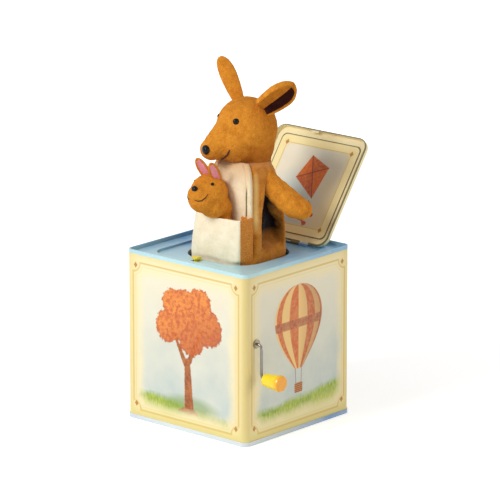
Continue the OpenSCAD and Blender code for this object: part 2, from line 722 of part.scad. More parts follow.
module pouch() {
    front = -cloth_w / 2 - 0.5;
    depth = belly_y - 2 * soft_gap - 1.2 - front;
    color([1.0, 0.95, 0.86]) translate([0, front + depth / 2, pouch_z0]) difference() {
        linear_extrude(pouch_z1 - pouch_z0) rounded_square(pouch_w, depth, 7);
        translate([0, 0, cloth_t]) linear_extrude(pouch_z1 - pouch_z0)
            rounded_square(pouch_w - 2 * cloth_t, depth - 2 * cloth_t, 7 - cloth_t);
    }
}

module ball(p, r) {
    translate(p) sphere(r, $fn = hull_fn);
}

// The left arm is on the +X side
module arm(side) {
    root = [side * (cloth_w / 2 + 0.19 * arm_r), spring_y + 5, shoulder_z - 4];
    color([0.83, 0.56, 0.22]) hull() {
        ball(root, 0.84 * arm_r);
        ball(root + arm_r * [side * 1.05, 0.84, -1.47], arm_r);
        ball(root + arm_r * [side * 1.9, 1.37, -2.42], 0.9 * arm_r);
    }
}

module left_arm() {
    arm(1);
}

module right_arm() {
    arm(-1);
}

module head() {
    brow = skull + skull_r * (0.43 * face_dir + [0, 0, -0.14]);
    jaw = skull + skull_r * (0.39 * face_dir + [0, 0, -0.5]);
    color([0.83, 0.56, 0.22]) {
        hull() {
            ball(skull, skull_r);
            ball(muzzle, muzzle_r);
        }
        hull() {
            ball(brow, 0.86 * skull_r);
            ball(jaw, 0.68 * skull_r);
            ball(muzzle, muzzle_r);
        }
        translate([0, spring_y, neck_z + top_disc_t]) cylinder(r = 0.57 * skull_r, h = 0.7 * skull_r);
    }
}

// A flat leaf that grows from the origin along +Z, with its broad side facing -Y
module ear_leaf(length, width) {
    rotate([90, 0, 0]) translate([0, 0, -ear_t / 2]) hull($fn = hull_fn) {
        translate([0, 2]) cylinder(d = width * 0.55, h = ear_t);
        translate([0, length * 0.55]) cylinder(d = width, h = ear_t);
        translate([0, length - width * 0.25]) cylinder(d = width * 0.5, h = ear_t);
    }
}

module up_ear() {
    color([0.83, 0.56, 0.22]) translate(skull + skull_r * [-0.286, -0.07, 0.964]) rotate([4, -26, 20])
        translate([0, 0, 2]) ear_leaf(ear_up_l, 0.37 * ear_up_l);
}

module out_ear() {
    color([0.80, 0.52, 0.20]) translate(skull + skull_r * [0.607, 0.214, 0.82]) rotate([-22, 58, 20])
        translate([0, 0, 2]) ear_leaf(ear_out_l, 0.52 * ear_out_l);
}

module eyes() {
    color([0.03, 0.03, 0.03]) for (s = [-1, 1])
        translate(skull + skull_r * (0.696 * face_dir + s * 0.65 * side_dir + [0, 0, 0.34])) sphere(eye_r);
}

module nose() {
    color([0.04, 0.04, 0.05]) translate(muzzle + muzzle_r * (0.955 * face_dir + [0, 0, 0.32])) sphere(nose_r);
}

// ---- Joey ----

module joey_body() {
    bottom = pouch_z0 + cloth_t + soft_gap;
    color([0.80, 0.52, 0.20]) translate([joey_c[0], (belly_y - cloth_w / 2) / 2 - 0.6, bottom])
        linear_extrude(joey_c[2] - joey_r - bottom - soft_gap)
            rounded_square(0.44 * cloth_w, pouch_d - 6, 5);
}

module joey_head() {
    color([0.84, 0.57, 0.23]) hull() {
        ball(joey_c - joey_r * 0.176 * joey_dir, joey_r);
        ball(joey_c + joey_r * (0.7 * joey_dir + [0, 0, -0.176]), joey_r * 0.6);
    }
}

module joey_ears() {
    color([0.97, 0.72, 0.72]) for (s = [-1, 1])
        translate(joey_c + joey_r * (s * 0.44 * joey_side - 0.235 * joey_dir + [0, 0, 0.88]))
            rotate([46, 0, -joey_turn]) ear_leaf(joey_ear_l, 9);
}

module joey_eyes() {
    color([0.03, 0.03, 0.03]) for (s = [-1, 1])
        translate(joey_c + joey_r * (0.38 * joey_dir + s * 0.824 * joey_side + [0, 0, 0.265]))
            sphere(0.6 * eye_r);
}

module joey_nose() {
    color([0.04, 0.04, 0.05]) translate(joey_c + joey_r * (1.265 * joey_dir + [0, 0, 0.06]))
        sphere(0.72 * nose_r);
}

side_walls();
bottom_tray();
top_frame();
hinge_pin();
wall_bushing();
movement_frame();
frame_screws();
comb();
comb_screws();
latch_bracket();
latch_pin();
spring_seat();
seat_screws();
hem_ring();
main_spring();
body_cloth();
bib();
pouch();
left_arm();
right_arm();
joey_body();
joey_head();
joey_ears();
joey_eyes();
joey_nose();
lid_shell();
lid_panel();
spring_top();
head();
up_ear();
out_ear();
eyes();
nose();
crank_wire();
pinion();
crank_collar();
crank_grip();
drum_shaft();
drum();
drum_gear();
trip_cam();
latch_lever();
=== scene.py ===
"""Tin jack in the box: a plush kangaroo with a joey on a spring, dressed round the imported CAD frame.

Lengths are in millimetres in the row frame (origin under the middle of the box, front at -Y, crank at
+X) and become metres where a mesh is made.
"""
import json
from functools import partialmethod
from math import acos, copysign, cos, exp, pi, radians, sin, sqrt, tan

import bmesh
import bpy
from mathutils import Euler, Matrix, Vector, noise
from mathutils.bvhtree import BVHTree
from mathutils.kdtree import KDTree


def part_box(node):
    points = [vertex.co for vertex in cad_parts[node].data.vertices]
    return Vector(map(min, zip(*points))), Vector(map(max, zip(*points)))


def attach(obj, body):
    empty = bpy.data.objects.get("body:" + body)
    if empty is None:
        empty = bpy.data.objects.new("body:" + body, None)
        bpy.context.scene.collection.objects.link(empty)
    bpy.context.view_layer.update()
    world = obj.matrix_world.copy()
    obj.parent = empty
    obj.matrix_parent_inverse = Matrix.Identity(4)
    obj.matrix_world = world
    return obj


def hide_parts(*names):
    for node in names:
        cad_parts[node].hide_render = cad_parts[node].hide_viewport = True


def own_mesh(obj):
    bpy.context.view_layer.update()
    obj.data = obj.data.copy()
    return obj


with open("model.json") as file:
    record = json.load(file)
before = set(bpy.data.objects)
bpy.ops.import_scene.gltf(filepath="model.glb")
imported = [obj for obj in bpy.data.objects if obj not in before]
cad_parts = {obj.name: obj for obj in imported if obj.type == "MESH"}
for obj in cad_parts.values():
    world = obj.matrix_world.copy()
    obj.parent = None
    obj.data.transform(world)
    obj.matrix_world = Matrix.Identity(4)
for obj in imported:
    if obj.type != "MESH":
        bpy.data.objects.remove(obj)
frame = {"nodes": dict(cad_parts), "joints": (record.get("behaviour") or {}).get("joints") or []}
scene = bpy.context.scene
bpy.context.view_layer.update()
MM = 0.001

# ---- places from the frame


def node_box(name):
    """Lowest and highest corner of a CAD node."""
    low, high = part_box(name)
    return Vector(low) / MM, Vector(high) / MM


FLOOR_Z = 3  # where the cloth body stands
NECK_Z = node_box("spring_top")[1].z
HINGE = next(j for j in frame["joints"] if j["name"] == "lid_hinge")
HINGE_Y, HINGE_Z = (c / MM for c in HINGE["pos_m"][1:])
LID_OPEN = radians(125.5)
HEAD_TURN, JOEY_TURN = radians(14), radians(2)
SKULL = Vector((0, 10, 267.5))  # centre of the skull
JOEY = Vector((-6.6, -34.2, 212))  # centre of the joey's head
PRESS_DOWN = 172  # travel of the puppet
SQUASH_KEEP = 1 - PRESS_DOWN / (NECK_Z - FLOOR_Z)  # what is left of the cloth when pressed down
BODY_TOP = 239.5
BIB_HEM = 176
POUCH_HEM, POUCH_RIM = 147.5, 193.2

# ---- camera

CAMERA = Vector((2228.67, -2516.73, 1055.29))
TARGET = Vector((-4.86, 21.15, 149.41))
FOCAL_PX, PICTURE_PX = 3866, 500
SENSOR = 36


def linked(name, data):
    """A new object in the scene."""
    made = bpy.data.objects.new(name, data)
    scene.collection.objects.link(made)
    return made


def aimed(obj, place, target):
    """Sets a camera or lamp at place, turned to target."""
    obj.location = place
    obj.rotation_euler = (target - Vector(place)).to_track_quat("-Z", "Y").to_euler()
    return obj


def make_camera():
    data = configure(bpy.data.cameras.new("camera"), sensor_width=SENSOR, clip_start=0.1, clip_end=50,
                     lens=FOCAL_PX / PICTURE_PX * SENSOR)
    camera = scene.camera = aimed(linked("camera", data), CAMERA, TARGET)
    camera.location *= MM


# ---- material tools


def configure(thing, **settings):
    for key, value in settings.items():
        setattr(thing, key, value)
    return thing


class Value:
    """A socket of a node material; sums and products of Values add Math nodes."""

    def __init__(self, shade, socket):
        self.shade, self.socket = shade, socket

    def math(self, kind, *others, clamp=False):
        return self.shade.math(kind, self, *others, clamp=clamp)

    __add__ = partialmethod(math, "ADD")
    __sub__ = partialmethod(math, "SUBTRACT")
    __mul__ = partialmethod(math, "MULTIPLY")
    __truediv__ = partialmethod(math, "DIVIDE")
    __abs__ = partialmethod(math, "ABSOLUTE")
    most = partialmethod(math, "MAXIMUM")
    least = partialmethod(math, "MINIMUM")

    def __rsub__(self, number):
        return self.shade.math("SUBTRACT", number, self)

    def ramp(self, low, high, to_low=0, to_high=1):
        """Runs evenly from to_low at low to to_high at high, and no further."""
        made = self.shade.node("ShaderNodeMapRange", clamp=True)
        self.shade.plug(self, made.inputs[0])
        for number, socket in zip((low, high, to_low, to_high), made.inputs[1:5]):
            socket.default_value = number
        return Value(self.shade, made.outputs[0])

    def inside(self, soft):
        """1 where a distance is below zero, 0 outside, with an edge soft millimetres wide."""
        return self.ramp(soft / 2, -soft / 2)

    def mix(self, a, b):
        """Colour a where the value is 0, b where it is 1."""
        made = self.shade.node("ShaderNodeMix", data_type="RGBA", clamp_factor=True)
        self.shade.plug(self, made.inputs[0])
        for color, socket in zip((a, b), made.inputs[6:8]):
            self.shade.plug(color if isinstance(color, Value) else (*color, 1), socket)
        return Value(self.shade, made.outputs[2])


class Shade:
    """Builds one node material from numbers, colours and Values."""

    SOCKETS = {"color": "Base Color", "rough": "Roughness", "metal": "Metallic", "coat": "Coat Weight",
               "coat_rough": "Coat Roughness", "sheen": "Sheen Weight", "sheen_rough": "Sheen Roughness",
               "sheen_tint": "Sheen Tint", "specular": "Specular IOR Level"}

    def __init__(self, name):
        self.material = bpy.data.materials.new(name)
        self.material.use_nodes = True
        self.tree = self.material.node_tree
        self.bsdf = self.tree.nodes["Principled BSDF"]
        coords = self.node("ShaderNodeTexCoord")
        self.place = Value(self, coords.outputs["Object"])
        self.facing = Value(self, coords.outputs["Normal"])

    def node(self, kind, **settings):
        return configure(self.tree.nodes.new(kind), **settings)

    def plug(self, value, socket):
        if isinstance(value, Value):
            self.tree.links.new(value.socket, socket)
        else:
            socket.default_value = value

    def math(self, kind, *values, clamp=False):
        made = self.node("ShaderNodeMath", operation=kind, use_clamp=clamp)
        for value, socket in zip(values, made.inputs):
            self.plug(value, socket)
        return Value(self, made.outputs[0])

    def split(self, vector):
        made = self.node("ShaderNodeSeparateXYZ")
        self.plug(vector, made.inputs[0])
        return [Value(self, socket) for socket in made.outputs]

    def mm(self):
        """The point's x, y and z at rest, in millimetres."""
        return [c / MM for c in self.split(self.place)]

    def noise(self, size, detail, rough=0.5, stretch=None):
        """A noise of 0 to 1 whose features are about size millimetres across."""
        made = self.node("ShaderNodeTexNoise")
        for name, number in (("Scale", 1 / (size * MM)), ("Detail", detail), ("Roughness", rough)):
            made.inputs[name].default_value = number
        place = self.place
        if stretch:
            scale = self.node("ShaderNodeVectorMath", operation="MULTIPLY")
            self.plug(place, scale.inputs[0])
            scale.inputs[1].default_value = stretch
            place = Value(self, scale.outputs[0])
        self.plug(place, made.inputs["Vector"])
        return Value(self, made.outputs["Fac"])

    def set(self, **values):
        for key, value in values.items():
            if isinstance(value, tuple):
                value = (*value, 1)
            self.plug(value, self.bsdf.inputs[self.SOCKETS[key]])

    def bump(self, height, depth, strength=1):
        """Gives the shader a relief of depth millimetres and returns the material."""
        made = self.node("ShaderNodeBump")
        made.inputs["Strength"].default_value = strength
        made.inputs["Distance"].default_value = depth * MM
        self.plug(height, made.inputs["Height"])
        self.plug(Value(self, made.outputs[0]), self.bsdf.inputs["Normal"])
        return self.material


def srgb(r, g, b):
    """A linear colour from 0 to 255 display values."""
    def linear(c):
        c /= 255
        return c / 12.92 if c <= 0.04045 else ((c + 0.055) / 1.055) ** 2.4
    return (linear(r), linear(g), linear(b))


def dimmed(color, *shares):
    """The colour times one share, or each channel times its own."""
    return tuple(c * k for c, k in zip(color, shares * 3))


# ---- plain materials


def metal(name, color, rough, grain=0.25):
    """Metal with fine brushed streaks and handling marks."""
    s = Shade(name)
    streaks, marks = s.noise(grain, 2, stretch=(0.05, 1, 1)), s.noise(6, 4, 0.6)
    s.set(color=marks.ramp(0.35, 0.75).mix(color, dimmed(color, 0.8)), metal=1,
          rough=(streaks * 0.4 + marks * 0.6).ramp(0.3, 0.8, rough * 0.7, rough * 1.4))
    return s.bump(streaks, 0.01)


def moulded(s, base, flow, flow_color, flow_share, rubbed, rough_low, rough_high):
    """Plastic with faint flow marks and soft rubbed patches."""
    s.set(color=flow.ramp(0.3, 0.75, 0, flow_share).mix(base, flow_color),
          rough=rubbed.ramp(0.3, 0.75, rough_low, rough_high), coat=0.3, coat_rough=0.15)
    return s.bump(rubbed, 0.02)


def plastic(name, color, rough, shade=0.9):
    s = Shade(name)
    return moulded(s, color, s.noise(9, 3), dimmed(color, shade), 1, s.noise(1.2, 4, 0.6),
                   rough * 0.8, rough * 1.35)


def grip_material():
    """Yellow moulded plastic that deepens to orange at the grip's outer end."""
    s = Shade("grip_plastic")
    x, _, _ = s.mm()
    color = x.ramp(96, 102).mix(srgb(252, 226, 30), srgb(255, 172, 20))
    return moulded(s, color, s.noise(9, 3), srgb(236, 170, 16), 0.3, s.noise(1.2, 4, 0.6), 0.24, 0.4)


def wood(name, color):
    """Turned wood with growth rings."""
    s = Shade(name)
    grain = s.noise(2.2, 5, 0.6, stretch=(1, 1, 0.12))
    s.set(color=grain.ramp(0.3, 0.7).mix(color, dimmed(color, 0.6)), rough=0.55)
    return s.bump(grain, 0.08)


def tin(name, color, dark):
    """Varnished tin in one ink, with painted shade that darkens it to blue towards the back, and a few
    rubbed specks.
    """
    s = Shade(name)
    cloud, speck = s.noise(26, 3, 0.55), s.noise(0.8, 2)
    x, y, _ = s.split(s.place)
    # painted shade: the ink darkens to blue towards the back and the left
    ink = (x * 0.4 - y).ramp(-0.015, 0.065).mix(dimmed(color, 0.3, 0.48, 0.8), color)
    ink = cloud.ramp(0.3, 0.75, 0, 0.7).mix(ink, dimmed(color, dark))
    ink = speck.ramp(0.62, 0.8, 0, 0.25).mix(ink, (0.75, 0.80, 0.84))
    s.set(color=ink, rough=speck.ramp(0.2, 0.8, 0.26, 0.4), specular=0.4, coat=0.2, coat_rough=0.12)
    return s.bump(cloud, 0.25)


def bead(name):
    """Black bead with a little haze."""
    s = Shade(name)
    haze = s.noise(0.7, 2)
    s.set(color=haze.mix((0.002, 0.002, 0.002), (0.006, 0.005, 0.006)), specular=0.15,
          rough=haze.ramp(0.3, 0.7, 0.2, 0.32), coat=0.06, coat_rough=0.08)
    return s.material


def thread(name, color):
    s = Shade(name)
    twist = s.noise(0.4, 2)
    s.set(color=twist.mix(color, dimmed(color, 0.5)), rough=0.85)
    return s.bump(twist, 0.1)


# ---- plush

LONG_PILE = (0.25, 0.45, 0.7)  # sheen, its roughness, relief in millimetres
SHORT_PILE = (0.2, 0.5, 0.5)


def velour(s, color, tuft, brushed, pile):
    """Matt cloth with a soft sheen and brushed tufts."""
    sheen, sheen_rough, relief = pile
    s.set(color=color, rough=0.95, sheen=sheen, sheen_rough=sheen_rough, specular=0.15)
    return s.bump(tuft * 0.6 + brushed * 0.9, relief, 0.9)


def brown_pile(s, dark, color, flecks=0.5):
    """Two browns by tuft, brush stroke and broad patch, with the three noises behind them."""
    tuft, brushed, broad = s.noise(0.9, 3, 0.65), s.noise(5.5, 4, 0.6), s.noise(17, 2)
    patches = brushed.ramp(0.35, 0.68) * 0.35 + broad.ramp(0.3, 0.7) * 0.2
    return (tuft.ramp(0.34, 0.66) * flecks + patches).mix(dark, color), tuft, brushed, broad


def cream_pile(s, dark, color):
    tuft, brushed = s.noise(0.9, 3, 0.6), s.noise(6, 4, 0.6)
    share = tuft.ramp(0.35, 0.65) * 0.5 + brushed.ramp(0.35, 0.65) * 0.5
    return share.mix(dark, color), tuft, brushed


def plush(name, color, dark, flecks=0.5, shade_height=None):
    """Short velour with brushed flecks; with shade_height given, painted shade darkens the pile below
    that height and towards the back.
    """
    s = Shade(name)
    fur, tuft, brushed, broad = brown_pile(s, dark, color, flecks)
    if shade_height:
        _, y, z = s.mm()
        # painted shade: dark brown under the chin and at the back of the head
        brown = srgb(140, 70, 20)
        fur = (z + broad * 8).ramp(shade_height - 6, shade_height - 34, 0, 0.75).mix(fur, brown)
        fur = (y + broad * 8).ramp(-8, 34, 0, 0.34).mix(fur, brown)
    s.set(sheen_tint=color)
    return velour(s, fur, tuft, brushed, LONG_PILE)


def pouch_material():
    """Cream velour in front, brown gusset at the sides."""
    s = Shade("pouch_velour")
    x, y, _ = s.mm()
    cream, tuft, brushed = cream_pile(s, srgb(244, 226, 188), srgb(255, 244, 220))
    brown = tuft.ramp(0.35, 0.65).mix(srgb(190, 112, 34), srgb(238, 158, 66))
    gusset = (x + y + 1.6).most(y - x - 8).ramp(-0.3, 0.3)
    return velour(s, gusset.mix(cream, brown), tuft, brushed, SHORT_PILE)


def body_material():
    """Brown velour with a painted highlight on its front corner beside the bib, and painted shade, near
    black, inside the fold under each arm.
    """
    s = Shade("body_velour")
    x, y, z = s.mm()
    brown, tuft, brushed, _ = brown_pile(s, srgb(172, 98, 24), srgb(236, 158, 60))
    # painted highlight: the body's front corner beside the bib is lightened to pale tan
    strip_highlight = x.ramp(28, 31) * (y.ramp(-6, -12) * z.ramp(176, 190))
    brown = (strip_highlight * 0.85).mix(brown, srgb(255, 222, 144))
    # painted shade: near black inside the fold under each arm
    rise = z.ramp(182, 218)
    left, right = rise * 5 - 2 - y, y - (24 - rise * 18.5)
    fold = left.most(right).most((z - 218).most(163 - z))
    fold = (fold + (brushed - 0.5) * 3).ramp(3, 0) * z.ramp(160, 176)
    side = abs(x).ramp(12, 16)
    return velour(s, (fold * side).mix(brown, srgb(16, 6, 5)), tuft, brushed, LONG_PILE)


def bib_material():
    """Cream velour with painted shade, a dark green line, along the crease near each side, and painted
    shade under the chin.
    """
    s = Shade("bib_velour")
    x, _, z = s.mm()
    cream, tuft, brushed = cream_pile(s, srgb(236, 214, 172), srgb(252, 236, 206))
    # painted shade: a dark green line along the crease near each edge of the bib
    left = x - z.ramp(190, 243, -20.2, -8.2)
    line = (abs(left).least(abs(x - 24)) - 0.9).inside(0.8) * z.ramp(222, 214)
    # painted shade: the bib turns browner under the chin
    cream = z.ramp(220, 236, 0, 0.75).mix(cream, srgb(214, 172, 122))
    return velour(s, line.mix(cream, srgb(104, 98, 62)), tuft, brushed, SHORT_PILE)


# ---- printed tin

CREAM = srgb(250, 236, 190)
WARM = srgb(236, 214, 140)
GOLD = srgb(225, 195, 110)
SKY = srgb(184, 203, 205)
GRASS = srgb(188, 204, 84)
GRASS_DARK = srgb(128, 160, 56)
RUST = srgb(216, 100, 24)
RUST_LIGHT = srgb(244, 146, 50)
BARK = srgb(150, 78, 34)


def reach(x, y):
    """Length of the vector (x, y)."""
    return (x * x + y * y).math("SQRT")


def rectangle(u, v, cv, hu, hv, r):
    """Distance to a rounded rectangle with its middle at (0, cv), negative inside."""
    x, y = abs(u) - (hu - r), abs(v - cv) - (hv - r)
    return reach(x.most(0), y.most(0)) + (x.most(y).least(0) - r)


def disc(u, v, cu, cv, r, squeeze=1):
    return reach((u - cu) * squeeze, v - cv) - r


def stroke(u, v, a, b, ra, rb):
    """Distance to a tapered stroke from a to b."""
    du, dv = b[0] - a[0], b[1] - a[1]
    x, y = u - a[0], v - a[1]
    t = (x * du + y * dv).math("DIVIDE", du * du + dv * dv, clamp=True)
    return reach(x - t * du, y - t * dv) - (t * (rb - ra) + ra)


def nearest(found, *others):
    for other in others:
        found = found.least(other)
    return found


def paint(under, distance, color, soft=0.8, strength=1):
    """Lays a colour over under where the distance is below zero."""
    return (distance.inside(soft) * strength).mix(under, color)


def corner_marks(ink, u, v, cv, hu, hv):
    """A small diamond on a pale petal in each corner."""
    x, y = abs(abs(u) - hu), abs(abs(v - cv) - hv)
    ink = paint(ink, reach(x, y) - 4.6, srgb(246, 222, 150), 3, 0.5)
    return paint(ink, x + y * 0.8 - 2.2, srgb(178, 120, 50), 0.9, 0.9)


def border(ink, u, v, cv, hu, hv, notch):
    """A gold line round a panel with concave corners, and a pale second line inside it."""
    bite = notch - reach(abs(u) - hu, abs(v - cv) - hv)
    panel = rectangle(u, v, cv, hu, hv, 1).most(bite)
    ink = paint(ink, abs(panel) - 0.9, GOLD, 0.7, 0.85)
    return paint(ink, abs(panel + 3.2) - 0.22, GOLD, 0.6, 0.5), panel


def meadow(s, u, v, ground, wash, tilt):
    """A pale sky that fades into cream, over a grassy slope."""
    sky = (v + wash * 40).ramp(ground, ground + 130).mix(SKY, srgb(244, 234, 206))
    sky = (wash.ramp(0.35, 0.7) * 0.5).mix(sky, srgb(236, 236, 218))
    slope = v - ground + (u * tilt + (wash - 0.5) * 12)
    blades = s.noise(1.6, 3, 0.6, stretch=(1, 1, 0.35))
    grass = blades.ramp(0.35, 0.65).mix(GRASS_DARK, GRASS)
    grass = slope.ramp(-4, -20).mix(grass, srgb(226, 224, 132))
    return slope.inside(6).mix(sky, grass)


def tree_print(ink, u, v, dabs):
    """An autumn tree: a rust crown of round boughs on a forked trunk."""
    ink = paint(ink, disc(u, v, 5, 24, 9, 0.3), GRASS_DARK, 6, 0.6)
    limbs = (((4, 22), (2, 66), 5.4, 3.3), ((2, 60), (-15, 92), 2.9, 1.2), ((2, 62), (19, 96), 2.9, 1.2),
             ((4, 22), (15, 18), 3.6, 0.6), ((4, 22), (-8, 19), 3.6, 0.6))
    trunk = nearest(*(stroke(u, v, *limb) for limb in limbs))
    bark = dabs.ramp(0.35, 0.65).mix(BARK, srgb(190, 112, 58))
    ink = (trunk + (dabs - 0.5) * 1.5).inside(0.8).mix(ink, bark)
    boughs = ((0, 108, 24), (-21, 95, 15), (26, 101, 17), (7, 88, 16), (16, 121, 15), (-15, 118, 13))
    crown = nearest(*(disc(u, v, *bough) for bough in boughs)) + (dabs - 0.5) * 9
    leaf = dabs.ramp(0.36, 0.6).mix(srgb(206, 88, 18), RUST_LIGHT)
    leaf = (v + u * -0.5).ramp(70, 118, 0.35, 1).mix(srgb(176, 66, 18), leaf)
    ink = (crown.inside(1.4) * 0.96).mix(ink, leaf)
    return paint(ink, abs(crown + 0.6) - 0.35, srgb(150, 62, 26), 0.9, 0.5)


def balloon_print(ink, u, v, dabs):
    """A striped hot-air balloon over the meadow."""
    top, middle, mouth, widest, basket_top = 136, 106, 58, 32, 44
    upper = (1 - (abs(v - middle) / (top - middle)).math("POWER", 2)).most(0).math("SQRT")
    t = (v - mouth).math("DIVIDE", middle - mouth, clamp=True)
    lower = (t * (pi / 2)).math("SINE") * 0.84 + 0.16
    above = v.ramp(middle - 0.1, middle + 0.1)
    wide = (above * upper + (1 - above) * lower) * widest
    side = u / wide.most(0.5)
    gore = (side.most(-1).least(1).math("ARCSINE") * 8).math("SINE")
    bag = (abs(u) - wide).most(mouth - v).most(v - top)
    cloth = gore.ramp(-0.12, 0.12).mix(RUST, srgb(250, 206, 130))
    cloth = paint(cloth, abs(v - (middle - 6)) - 4, srgb(176, 74, 30), 0.8, 0.85)
    cloth = (side + dabs * 0.5).ramp(0.2, 1.5, 0, 0.75).mix(cloth, srgb(150, 62, 26))
    cloth = (dabs.ramp(0.4, 0.7) * 0.25).mix(cloth, srgb(255, 220, 150))
    ink = (bag.inside(0.9) * 0.97).mix(ink, cloth)
    ropes = nearest(*(stroke(u, v, (4.2 * k, mouth), (3.6 * k, basket_top), 0.3, 0.3) for k in (-1, 1)))
    ink = paint(ink, ropes, BARK, 0.5)
    weave = (v * 3.6).math("SINE").ramp(-0.3, 0.3).mix(BARK, srgb(206, 140, 74))
    return rectangle(u, v, 40, 5.4, 4.6, 1.4).inside(0.7).mix(ink, weave)


def wall_print():
    """The four printed walls: trees at the front and back, balloons at the sides."""
    s = Shade("wall_print")
    x, y, z = s.mm()
    nx, ny, _ = s.split(s.facing)
    sideways = (abs(nx) - abs(ny)).ramp(-0.001, 0.001)
    u = sideways * (y * nx.math("SIGN")) + (1 - sideways) * (x * (ny.math("SIGN") * -1))
    wash, dabs = s.noise(38, 3, 0.6), s.noise(3.2, 3, 0.6)
    ink = abs(u).ramp(56, 70).mix(CREAM, WARM)
    ink = z.ramp(16, 6).mix(ink, srgb(236, 226, 150))
    ink = abs(z - 80).ramp(68, 76, 0, 0.8).mix(ink, WARM)
    ink, panel = border(ink, u, z, 78.25, 63.2, 69, 8.5)
    ink = corner_marks(ink, u, z, 79.85, 60, 64.85)
    land = meadow(s, u, z - sideways * 8, 24, wash, 0.1 - sideways * 0.17)
    art = sideways.mix(tree_print(land, u, z, dabs), balloon_print(land, u, z, dabs))
    ink = (panel + ((wash - 0.5) * 14 + 8.5)).inside(10).mix(ink, art)
    ink = (s.noise(1.1, 2, 0.6).ramp(0.45, 0.8) * 0.10).mix(ink, srgb(225, 205, 150))
    scuff = s.noise(0.9, 5, 0.7, stretch=(1, 1, 0.4))
    s.set(color=ink, rough=scuff.ramp(0.3, 0.8, 0.28, 0.44), specular=0.3, coat=0.12, coat_rough=0.1)
    return s.bump(s.noise(45, 2), 0.35)


def lid_place(s):
    """Position in the closed lid's own frame, in millimetres."""
    x, y, z = s.mm()
    y, z = y - HINGE_Y, z - HINGE_Z
    c, k = cos(LID_OPEN), sin(LID_OPEN)
    return x, y * c - z * k + HINGE_Y, y * k + z * c + HINGE_Z


def lid_panel_print():
    """The picture inside the lid: a kite with a tail of bows."""
    s = Shade("lid_panel_print")
    x, y, _ = lid_place(s)
    v = y * -1
    wash, dabs = s.noise(30, 3, 0.6), s.noise(3, 3, 0.6)
    tone = x + v * -0.35 + (wash - 0.5) * 44
    ink = tone.ramp(-40, 4).mix(srgb(240, 230, 204), srgb(222, 216, 196))
    ink = tone.ramp(4, 44).mix(ink, srgb(232, 212, 164))
    ink = paint(ink, disc(x, v, -8, -18, 24), srgb(190, 208, 208), 26, 0.8)
    a, b, turn = x - 4, v - 14, radians(-24)
    c, k = cos(turn), sin(turn)
    ku, kv = a * c - b * k, a * k + b * c
    upper = kv.ramp(-0.05, 0.05)
    kite = abs(ku) * (upper + (1 - upper) * 1.5) + abs(kv) - ((1 - upper) * 9 + 18)
    cloth = (ku * kv).ramp(-1, 1).mix(RUST, srgb(190, 84, 34))
    cloth = (dabs.ramp(0.4, 0.65) * 0.45).mix(cloth, RUST_LIGHT)
    ink = kite.inside(0.9).mix(ink, cloth)
    spars = (abs(ku) - 0.4).least(abs(kv) - 0.4)
    ink = paint(ink, spars.most(kite), srgb(120, 50, 24), 0.6)
    tail = ((13, -13), (18, -24), (14, -33), (20, -42))
    for start, end in zip(tail, tail[1:]):
        ink = paint(ink, stroke(x, v, start, end, 0.35, 0.35), srgb(120, 60, 34), 0.5)
    for cu, cv in tail[1:]:
        bow = nearest(stroke(x, v, (cu, cv), (cu - 4, cv + 2), 0.5, 2),
                      stroke(x, v, (cu, cv), (cu + 4, cv - 2), 0.5, 2))
        ink = paint(ink, bow, srgb(196, 84, 36), 0.7)
    edge = rectangle(x, v, 0, 46.9, 46.9, 6)
    ink = paint(ink, (edge + 8.6) * -1, srgb(252, 232, 170), 1.6)
    ink = paint(ink, abs(edge + 8.4) - 0.5, GOLD, 0.6, 0.9)
    ink = corner_marks(ink, x, v, 0, 38.5, 38.5)
    # painted shade: an olive line round the card's edge
    ink = paint(ink, (edge + 0.9) * -1, srgb(112, 100, 60), 0.6)
    s.set(color=ink, rough=dabs.ramp(0.3, 0.7, 0.3, 0.42), specular=0.3, coat=0.1, coat_rough=0.15)
    return s.bump(s.noise(30, 2), 0.2)


def lid_print():
    """The lid's shell: cream with painted shade, olive, along the lower edge of the skirt, and a sun on
    top.
    """
    s = Shade("lid_print")
    x, y, z = lid_place(s)
    wash = s.noise(34, 3, 0.6)
    ink = wash.ramp(0.3, 0.7).mix(CREAM, srgb(248, 232, 180))
    edge = rectangle(x, y, 0, 54.1, 54.1, 10)
    # painted shade: olive along the skirt's lower edge
    ink = (edge.ramp(-1.6, -0.7) * z.ramp(154.6, 154)).mix(ink, srgb(120, 108, 62))
    art, panel = border(ink, x, y, 0, 46, 46, 8)
    sky = wash.ramp(0.35, 0.7).mix(SKY, srgb(236, 232, 204))
    rays = (y.math("ARCTAN2", x) * 12).math("SINE") * 5 + 24
    sky = paint(sky, reach(x, y) - rays, RUST_LIGHT, 1.2, 0.85)
    sky = paint(sky, reach(x, y) - 15, RUST, 0.9, 0.95)
    art = (panel + 6).inside(8).mix(art, sky)
    s.set(color=z.ramp(157.65, 157.85).mix(ink, art), rough=wash.ramp(0.3, 0.7, 0.28, 0.4),
          specular=0.35, coat=0.15, coat_rough=0.1)
    return s.bump(s.noise(1.2, 3, 0.6), 0.03)


# ---- mesh tools


def new_object(name, vertices, faces):
    mesh = bpy.data.meshes.new(name)
    mesh.from_pydata([tuple(c * MM for c in v) for v in vertices], [], faces)
    mesh.validate()
    mesh.shade_smooth()
    return linked(name, mesh)


FINER = ("SUBSURF", {"levels": 1})


def remesh(voxel):
    return "REMESH", {"mode": "VOXEL", "voxel_size": voxel * MM}


def modified(obj, *steps):
    """Adds each (kind, settings) modifier, applies them all and returns the object."""
    for kind, settings in steps:
        configure(obj.modifiers.new(kind.lower(), kind), **settings)
    graph = bpy.context.evaluated_depsgraph_get()
    graph.update()
    old, obj.data = obj.data, bpy.data.meshes.new_from_object(obj.evaluated_get(graph))
    obj.modifiers.clear()
    bpy.data.meshes.remove(old)
    obj.data.shade_smooth()
    return obj


